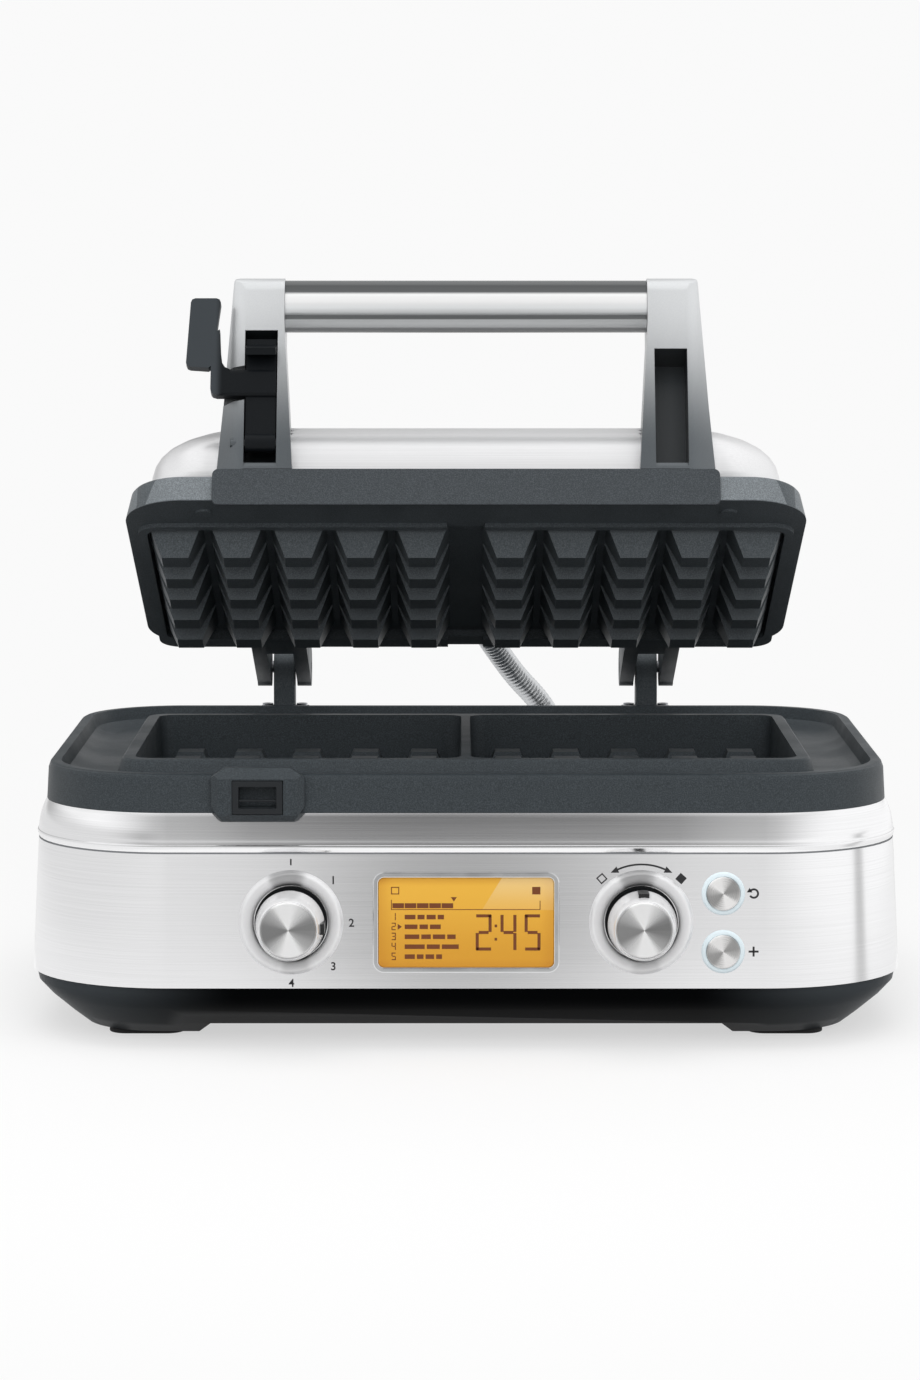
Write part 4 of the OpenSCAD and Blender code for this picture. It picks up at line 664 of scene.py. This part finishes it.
loop_angle = np.radians(np.linspace(150, -150, 30))
loop = np.concatenate([polar(2.3, loop_angle), polar(1.4, loop_angle[::-1])])
loop_tip = np.array([(-3.1, 0.5), (-0.6, 0.5), (-1.85, 2.5)])
inked("upper_mark", [loop + (mark_x, upper_key), loop_tip + (mark_x, upper_key)], display_place)
plus_long, plus_thin = 2.2, 0.45
plus = [np.array(bar(-plus_long, -plus_thin, plus_long, plus_thin)),
        np.array(bar(-plus_thin, -plus_long, plus_thin, plus_long))]
inked("lower_mark", [stroke + (mark_x, lower_key) for stroke in plus], display_place)


# ---- Upper plate ----
# The lid's casting carries the same coating. Its side band leans in towards the top, two lips hang from its
# flange, and five rows of teeth fill each of its squares.

hinge_place = np.array(joint("lid_hinge")["pos_m"])
lid_turn = math.radians(-joint("lid_hinge")["range_deg"][0])
lid_back_dir = np.array([0, math.cos(lid_turn), -math.sin(lid_turn)])
lid_up_dir = np.array([0, math.sin(lid_turn), math.cos(lid_turn)])
front_to_hinge, flange_to_hinge = 269.7 * mm, 14.8 * mm
lid_corner_place = hinge_place - lid_back_dir * front_to_hinge - lid_up_dir * flange_to_hinge


def on_lid(points):
    """Points in millimetres to the right, behind the lid's front edge and above its flange, with the lid
    open."""
    points = np.asarray(points, float) * mm
    return (lid_corner_place + points[..., :1] * np.array([1.0, 0, 0]) + points[..., 1:2] * lid_back_dir
            + points[..., 2:] * lid_up_dir)


def lid_height(finish):
    """How far a point is above the lid's flange, square to it."""
    return finish.along(lid_up_dir, lid_corner_place)


def lid_depth(finish):
    """How far a point is behind the lid's front edge."""
    return finish.along(lid_back_dir, lid_corner_place)


upper_coating = coated("lid coating", shade(86, 92, 96))
# Painted light: the band along the lid's front and sides takes a paler copy of the coating than the rest, as if
# lit.
lid_half, edge_width = float(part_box("upper_plate")[1].x), 0.006
above_flange = lid_height(upper_coating) > 0.0004
near_edge = (lid_depth(upper_coating) < edge_width) + (abs(upper_coating.axis(0)) > lid_half - edge_width)
painted_light_band = upper_coating.sum_of("MINIMUM", above_flange * near_edge, 1.0)
_, painted_band_color = flecked(upper_coating, shade(104, 110, 114), shade(146, 152, 156))
coating_color = Value(upper_coating, upper_coating.shader.inputs["Base Color"].links[0].from_socket)
upper_coating.use(Base_Color=upper_coating.mix(painted_light_band, coating_color, painted_band_color))
dressed("upper_plate", "lid", upper_coating, edge=0.0006)


# ---- Dome ----
# A pressed and polished steel dome, a little crowned, sits on the casting inside its band. Its front is cut
# away where the arms stand.

dome_steel = brushed("satin dome steel", shade(240, 240, 241), 0.3, fine=(9, 2600, 2600), metallic=0.65)
dome_half, dome_front, dome_back, dome_corner, dome_foot, dome_rise = 142.5, 10, 186, 26, 12.6, 38.2
arm_inner, arm_outer, arm_back = 81, 104, 28


def dome_outline(side_in, front_in, height):
    """One level of the dome: a rounded rectangle at a height, drawn in at the sides and at the front and back.
    Its corners grow with what it is drawn in, as far as its sides leave room."""
    half, front, back = dome_half - side_in, dome_front + front_in, dome_back - front_in
    radius = max(6.0, dome_corner + (side_in + front_in) * 0.15)
    radius = min(radius, half - 1, (back - front) / 2 - 1)
    flat = rounded(half, front, back, radius, radius, corner=40, side=260)
    return np.column_stack([flat, np.full(len(flat), height)])


# Each level: its share of the rise, and how far it is drawn in at the sides and at the front and back.
levels = [(0, 0, 0), (0.15, 0.2, 0.2), (0.3, 0.8, 0.8), (0.42, 1.8, 1.8), (0.52, 3.4, 3.4), (0.62, 5.9, 5.8),
          (0.71, 9.2, 8.8), (0.79, 13.2, 12.4), (0.85, 17.6, 16.2), (0.9, 23, 21), (0.935, 29.5, 26.5),
          (0.962, 39, 34), (0.98, 52, 44), (0.992, 75, 60), (0.998, 105, 74), (1.0, 136, 86)]
dome_rings = np.array([dome_outline(side_in, front_in, dome_foot + share * dome_rise)
                       for share, side_in, front_in in levels])
far_x, behind = np.abs(dome_rings[..., 0]), dome_rings[..., 1]
inside_arm = (far_x > arm_inner) & (far_x < arm_outer) & (behind < arm_back)
dome_rings[..., 1] = np.where(inside_arm, arm_back, behind)
dome = shell("dome", on_lid(dome_rings), dome_steel, "lid", end="face", sharp=50, outward=False)
wall = dome.modifiers.new("wall", "SOLIDIFY")
wall.thickness, wall.offset = 1.0 * mm, -1.0
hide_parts("lid_cover")


# ---- Bracket and arms ----
# A coated plate is folded round the lid's front band and carries two cast arms. The arms are lacquered in
# silver, painted darker towards their feet as a painted reflection, and each has a deep pocket in its front,
# painted dark as painted shade.

dressed("handle_bracket", "lid", coated("bracket coating", shade(70, 75, 79)), edge=0.0008, steps=3)

arm_lacquer = Finish("arm lacquer", shade(176, 179, 182), 0.3, 0.5, Coat_Weight=0.25, Coat_Roughness=0.12)
up_lid, depth_in = lid_height(arm_lacquer), lid_depth(arm_lacquer)
metal_grain = arm_lacquer.noise(arm_lacquer.spot(), 3200.0)
# Painted reflection: the silver turns dark grey towards the arms' feet.
silver = arm_lacquer.mix(metal_grain, shade(210, 212, 214), shade(232, 234, 235))
painted_dark_foot = arm_lacquer.mix(metal_grain, shade(82, 88, 92), shade(104, 109, 113))
arm_color = arm_lacquer.mix(arm_lacquer.spread(up_lid, 0.024, 0.1), painted_dark_foot, silver)
from_middle = abs(arm_lacquer.axis(0))
# Painted shade: inside the pockets the colour is dark and not metallic.
pocket_inner, pocket_outer, pocket_front, pocket_back = 0.0841, 0.0989, -0.0018, 0.0193
pocket_foot, left_pocket_top, right_pocket_lower = 0.0178, 0.0812, 0.009
pocket_top = left_pocket_top - (arm_lacquer.axis(0) > 0.0) * right_pocket_lower
painted_pocket_shade = (from_middle > pocket_inner) * (from_middle < pocket_outer)
painted_pocket_shade = painted_pocket_shade * (up_lid > pocket_foot) * (up_lid < pocket_top)
painted_pocket_shade = painted_pocket_shade * (depth_in > pocket_front) * (depth_in < pocket_back)
arm_lacquer.use(Base_Color=arm_lacquer.mix(painted_pocket_shade, arm_color, shade(50, 54, 57)))
arm_lacquer.use(Metallic=0.5 - painted_pocket_shade * 0.5, Roughness=metal_grain * 0.12 + 0.26)
arm_lacquer.bump(metal_grain, 0.00002, 0.3)
for side in ("left", "right"):
    dressed("handle_arm_" + side, "lid", arm_lacquer, edge=0.0009, steps=3)


# ---- Grip ----
# A polished metal bar of flattened round section between the arms, with a narrow groove along its lower front.
# At each end of the groove a slot is shown by a thin dark tab, painted shade. A steel rod runs through the bar.

grip_y, grip_z, grip_half, grip_r, flattening = 12.0, 98.6, 81.4, 11.7, 1.02
groove_at, hairline_at = -44, -24
around_grip = np.linspace(0, 2 * math.pi, 97)[:-1]
section = np.stack([grip_y - flattening * grip_r * np.cos(around_grip),
                    grip_z + grip_r * np.sin(around_grip)], 1)
section_angle = np.degrees(np.arctan2(section[:, 1] - grip_z, grip_y - section[:, 0]))
groove = 0.55 * np.exp(-((section_angle - groove_at) / 4.2) ** 4)
hairline = 0.22 * np.exp(-((section_angle - hairline_at) / 1.6) ** 2)
section = (section - (grip_y, grip_z)) * (1 - (groove + hairline)[:, None] / grip_r) + (grip_y, grip_z)
stations = [-grip_half, -grip_half + 0.5, *np.linspace(-72, 72, 13), grip_half - 0.5, grip_half]
grip_rings = np.stack([np.column_stack([np.full(len(section), x), section]) for x in stations])
grip_bright = Finish("polished grip", shade(236, 237, 238), 0.13, 0.2)
grip_middle = on_lid([[0, grip_y, grip_z]])[0]
up_bar = grip_bright.axis(2) - float(grip_middle[2])
draw = grip_bright.noise(grip_bright.spot(scale=(3, 1800, 1800)), 1.0, 3.0)
share_up = up_bar * (0.5 / (grip_r * mm)) + 0.5
# Painted reflections along the bar, bands of light and dark: millimetres above its middle, and the grey there, 0
# to 255.
painted_reflection_bands = [(-10.8, 122), (-9.6, 146), (-8.9, 214), (-5.9, 224), (-5.2, 104), (-3.9, 102), (-3.0, 206), (0.0, 244),
         (2.4, 255), (5.6, 255), (6.8, 92), (9.5, 66), (11.0, 104)]
stops = [(0.5 + up / grip_r / 2, shade(grey, min(grey + 2, 255), min(grey + 3, 255))) for up, grey in painted_reflection_bands]
grip_bright.use(Base_Color=grip_bright.ramp(share_up, stops), Roughness=draw * 0.14 + 0.08)
grip = shell("grip", on_lid(grip_rings), grip_bright, "lid", start="face", end="face", sharp=24)
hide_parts("handle_grip")

# Painted shade: each slot is a thin dark grey tab lying in the groove, not a cut.
slot_dark = Finish("grip slots", shade(70, 75, 79), 0.4, 0.6).drifting(800.0, 0.3, 0.5)
slot_half, slot_middle = 1.15, grip_half - 4.1
half_turn = np.linspace(-math.pi / 2, math.pi / 2, 9)
tab = np.concatenate([[(-4.0, -slot_half)], polar(slot_half, half_turn) + (3.0, 0.0), [(-4.0, slot_half)]])
groove_turn = math.radians(groove_at)
outward_y, outward_z = -math.cos(groove_turn), math.sin(groove_turn)
round_y, round_z = math.sin(groove_turn), math.cos(groove_turn)
for side, side_name in ((-1, "left"), (1, "right")):
    rings = [np.column_stack([side * (tab[:, 0] - slot_middle),
                              grip_y + outward_y * depth + round_y * tab[:, 1],
                              grip_z + outward_z * depth + round_z * tab[:, 1]])
             for depth in (grip_r - 0.75, grip_r - 0.42)]
    shell("grip_slot_" + side_name, on_lid(rings), slot_dark, "lid", start="face", end="face")


# ---- Hinges ----
# Cast posts screwed to the base and cast lugs screwed to the lid, coated like the plates. They turn on zinc-
# plated steel pins with flat heads.

hinge_coating = coated("hinge coating", shade(80, 86, 90))
dressed("hinge_posts", "base", hinge_coating, edge=0.0006)
dressed("lid_hinges", "lid", hinge_coating, edge=0.0012, steps=3)
for part in ("hinge_pins", "grip_rod"):
    coat(part, zinc)


# ---- Latch ----
# One black moulded lever: a hooked arm in the left pocket, a bridge out through the arm's notch and a thumb
# paddle beside it. It swings down over the catch and hooks under its bar.

latch_black = Finish("latch moulding", shade(44, 49, 53), 0.4, Specular_IOR_Level=0.15)
# Painted light and shade: the paddle, out beside the arm, is a mid grey, and the rest of the lever in the pocket
# is painted nearly black as shade.
paddle_start, paddle_end = -0.1125, -0.1085
far_out = latch_black.spread(latch_black.axis(0), paddle_start, paddle_end, 1.0, 0.0)
latch_fleck = latch_black.noise(latch_black.spot(), 2600.0)
painted_latch_shading = latch_black.mix(far_out, shade(19, 22, 25), shade(60, 65, 69))
latch_black.use(Base_Color=painted_latch_shading, Roughness=latch_fleck * 0.16 + 0.32)
latch_black.bump(latch_fleck, 0.00004, 0.5)
dressed("latch_lever", "latch", latch_black, edge=0.0009, steps=3)
coat("latch_pin", arm_lacquer)


# ---- Wiring conduit ----
# The wires to the lid run in a wound steel sleeve between two black glands, bent in a free curve behind the lid.
# The gland at one end stays with the base and the one at the other follows the lid; the sleeve itself is set on
# no body.

def curve_through(knots, per_stretch):
    """Catmull-Rom: each stretch between knots is a cubic whose ends lean as the line between their
    neighbours."""
    knots = np.asarray(knots, float)
    padded = np.concatenate([knots[:1], knots, knots[-1:]])
    t = np.linspace(0, 1, per_stretch, endpoint=False)[:, None]
    pieces = []
    for a, b, c, d in zip(padded, padded[1:], padded[2:], padded[3:]):
        pieces.append(0.5 * (2 * b + (c - a) * t + (2 * a - 5 * b + 4 * c - d) * t ** 2
                             + (3 * b - a - 3 * c + d) * t ** 3))
    return np.concatenate(pieces + [knots[-1:]])


def swept(path, radii, sides):
    """Rings of changing radius along a path, each square to it, each starting square to both the path and one
    fixed direction.
    """
    heading = np.gradient(path, axis=0)
    heading /= np.linalg.norm(heading, axis=1)[:, None]
    across = np.cross(heading, [1.0, 0, 0.2])
    across /= np.linalg.norm(across, axis=1)[:, None]
    upward = np.cross(heading, across)
    angle = np.linspace(0, 2 * math.pi, sides, endpoint=False)
    circle = np.cos(angle)[None, :, None] * across[:, None] + np.sin(angle)[None, :, None] * upward[:, None]
    return path[:, None] + radii[:, None, None] * circle


seam_out, sleeve_radius, winding_rise, winding_pitch = 5 * mm, 5.7 * mm, 0.25 * mm, 2.6 * mm
conduit_face = rim_back + seam_out
lid_port, lid_port_out = on_lid([[0, 184.0, 24.0], [1, 202.0, 24.0]])
hinge_y, hinge_z = hinge_place[1:]
knots = [lid_port, lid_port_out, (0.010, hinge_y - 0.031, hinge_z + 0.020),
         (0.024, hinge_y - 0.006, hinge_z - 0.002), (0.039, hinge_y + 0.010, hinge_z - 0.021),
         (0.051, conduit_face + 0.0122, 0.097), (0.052, conduit_face - 0.003, 0.095)]
curve = curve_through(knots, 90)
reach = np.concatenate([[0], np.cumsum(np.linalg.norm(np.diff(curve, axis=0), axis=1))])
steps_along = np.linspace(0, reach[-1], 420)
route = np.stack([np.interp(steps_along, reach, curve[:, i]) for i in range(3)], 1)
wound = sleeve_radius + winding_rise * np.abs(np.sin(steps_along / winding_pitch * math.pi))
sleeve_steel = Finish("wound sleeve", shade(150, 154, 157), 0.36, 0.9)
sleeve_noise = sleeve_steel.noise(sleeve_steel.spot(), 900.0)
sleeve_steel.use(Roughness=sleeve_noise * 0.2 + 0.28,
                 Base_Color=sleeve_steel.mix(sleeve_noise, shade(196, 199, 202), shade(242, 243, 244)))
sleeve = shell("conduit_sleeve", swept(route, wound, 20), sleeve_steel, None, start="face", end="face",
               sharp=70)
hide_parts("wiring_conduit")
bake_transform(sleeve)
for gland, gland_body in (("conduit_base_gland", "base"), ("conduit_lid_gland", "lid"), ("cord_gland", "base")):
    dressed(gland, gland_body, black_moulding, edge=0.0003, name=gland + "_moulding")


# ---- Inside ----
# Boards, heating elements, heat shields and sensors sit out of sight inside the body and the lid. They have the
# plain finishes of bought-in parts: green board, dull drawn tube, bare sheet and zinc.

element_sheath = Finish("element sheath", shade(140, 136, 130), 0.45, 0.9).drifting(70.0, 0.35, 0.6)
shield_sheet = brushed("shield sheet", shade(192, 193, 195), 0.4)
board_mask = Finish("board mask", shade(28, 92, 58), 0.35, Coat_Weight=0.3)
tracks = board_mask.spread(board_mask.noise(board_mask.spot(scale=(300, 300, 300)), 1.0, 1.0), 0.48, 0.54)
board_mask.use(Base_Color=board_mask.mix(tracks, shade(24, 80, 50), shade(38, 112, 72)))
out_of_sight = ((element_sheath, ("lower_heater", "upper_heater")),
                (shield_sheet, ("lower_heat_shield", "upper_heat_shield")),
                (board_mask, ("control_board", "power_board")),
                (zinc, ("lower_sensor", "upper_sensor", "chassis_posts", "board_spacers")),
                (zinc, ("mode_shaft", "shade_shaft")),
                (black_moulding, ("mode_encoder", "shade_encoder", "button_switches")),
                (amber, ("lcd_module",)))
for inner_finish, parts in out_of_sight:
    for part in parts:
        coat(part, inner_finish)


# ---- Floor, lamps and camera ----
# A plain pale floor, one broad lamp overhead, another in front, and a grey flag behind the camera for the steel
# to show. The camera looks a little down on the front.

camera_data = bpy.data.cameras.new("camera")
camera_data.lens, camera_data.sensor_width = 109.28, 36.0
camera = bpy.data.objects.new("camera", camera_data)
bpy.context.scene.collection.objects.link(camera)
camera_off_x, camera_back, camera_up, camera_down = -2.7 * mm, 1.825, 0.3633, 6.38
camera.location = (camera_off_x, rim_front - camera_back, camera_up)
camera.rotation_euler = (math.radians(90 - camera_down), 0, 0)
bpy.context.scene.camera = camera


def shown(mixing):
    """1 for what the camera, polished metal and clear plastic see, 0 for light that falls on the object."""
    seen_by = ("Is Camera Ray", "Is Glossy Ray", "Is Transmission Ray")
    camera_ray, metal_ray, plastic_ray = [mixing.node("ShaderNodeLightPath", output=ray) for ray in seen_by]
    return mixing.sum_of("MINIMUM", camera_ray + metal_ray + plastic_ray, 1.0)


def flagged(mixing, beside, rise, forward):
    """The white studio as metal sees it: 1 is white. Beside is metres to the right at the camera's distance,
    rise and forward are the upward and frontward shares of the direction. A tall grey flag stands behind the
    camera, narrow and paler at the height that the panel shows, and wider and darker above. A narrow grey card
    stands on the right, level with the front, and the left-hand wall is a little duller."""
    high = mixing.spread(rise, 0.7, 0.85)
    above = mixing.spread(rise, 0.0, 0.1) - high
    off = abs(beside)
    clear = mixing.spread(off, above * 0.05, above * 0.05 + 0.12, 0.0, 0.7 - above * 0.3)
    clear = mixing.spread(off, 0.12, above * 0.8 + 0.9 - high * 0.65, 0.0, above * 0.3 + 0.3) + clear
    grey = 0.33 - mixing.spread(rise, 0.0, 0.06, 0.0, 0.13) - mixing.spread(rise, 0.1, 0.7, 0.0, 0.065)
    grey = mixing.spread(rise, 0.78, 0.93, 0.0, 0.42) + grey
    level = grey + clear * (1.0 - grey)
    from_card = abs(forward / abs(beside) * camera_back + 0.04)
    card = mixing.spread(from_card, 0.03, 0.24, 0.45, 0.0) * (beside > 0.3)
    card = card * mixing.spread(rise, 0.0, 0.05, 1.0, 0.0)
    dull = mixing.spread(beside, -0.9, -0.2, 0.24, 0.0) * mixing.spread(rise, 0.15, 0.4, 1.0, 0.0)
    return level - card - dull


studio_white, floor_reach = 0.955, 30
floor_finish = Finish("floor", shade(246, 246, 246), 0.9)
floor_spot = floor_finish.here()
ahead = float(rim_front) - floor_finish.axis(1, floor_spot)
distance = floor_finish.sum_of("MAXIMUM", ahead, 0.0) / camera_back + 1.0
beside = floor_finish.axis(0, floor_spot) / distance
far_off = floor_finish.node("ShaderNodeVectorMath", {"operation": "LENGTH"}, {0: floor_spot}, output="Value")
metal_sees = floor_finish.node("ShaderNodeLightPath", output="Is Glossy Ray")
floor_level = floor_finish.sum_of("MAXIMUM", flagged(floor_finish, beside, 0.0, ahead / distance),
                                  floor_finish.spread(far_off, 0.27, 0.37, 1.0, 0.0))
level = studio_white - metal_sees * (studio_white - floor_level)
glow = floor_finish.node("ShaderNodeEmission", None, {"Color": (1, 1, 1, 1), "Strength": level})
seen = shown(floor_finish)
lit_floor = floor_finish.node("ShaderNodeBsdfDiffuse", None, {
    "Color": floor_finish.mix(seen, shade(128, 128, 128), shade(250, 250, 250))})
glowing = seen * floor_finish.spread(far_off, 0.3, 0.9, 0.62, 1.0)
both = floor_finish.node("ShaderNodeMixShader", None, {0: glowing, 1: lit_floor, 2: glow})
floor_finish.feed(floor_finish.tree.nodes["Material Output"].inputs["Surface"], both)
floor_mesh = bpy.data.meshes.new("floor")
floor_mesh.from_pydata([(x, y, 0) for x, y in bar(-floor_reach, -floor_reach, floor_reach, floor_reach)], [],
                       [(0, 1, 2, 3)])
floor_mesh.materials.append(floor_finish.material)
floor = bpy.data.objects.new("floor", floor_mesh)
bpy.context.scene.collection.objects.link(floor)

world = bpy.data.worlds.new("studio")
bpy.context.scene.world = world
world.use_nodes = True
sky = Mixing(world.node_tree)
direction = sky.node("ShaderNodeTexCoord")
across_sky = sky.axis(0, direction) * camera_back + sky.spread(sky.axis(1, direction), -0.3, 0.1, 0.0, 0.3)
sky_metal = sky.node("ShaderNodeLightPath", output="Is Glossy Ray")
sky_flagged = flagged(sky, across_sky, sky.axis(2, direction), sky.axis(1, direction) * -1.0)
sky_level = studio_white - sky_metal * (studio_white - sky_flagged)
sky_seen, background = shown(sky), world.node_tree.nodes["Background"]
sky.feed(background.inputs["Strength"], sky_seen * sky_level + (1.0 - sky_seen) * 0.7)
background.inputs["Color"].default_value = (1, 1, 1, 1)


def lamp(name, power, size, place, aim):
    """A square area lamp at a place, turned to face its aim."""
    data = bpy.data.lights.new(name, "AREA")
    data.energy, data.size = power, size
    light = bpy.data.objects.new(name, data)
    light.location = place
    light.rotation_euler = (Vector(aim) - Vector(place)).to_track_quat("-Z", "Y").to_euler()
    light.visible_glossy = False
    bpy.context.scene.collection.objects.link(light)


object_middle = (0, 0, 0.15)
lamp("overhead lamp", 10, 1.6, (0, -0.3, 1.9), object_middle)
lamp("front lamp", 34, 2.0, (0, -2.6, 1.7), object_middle)

bpy.context.scene.view_settings.view_transform = "Standard"
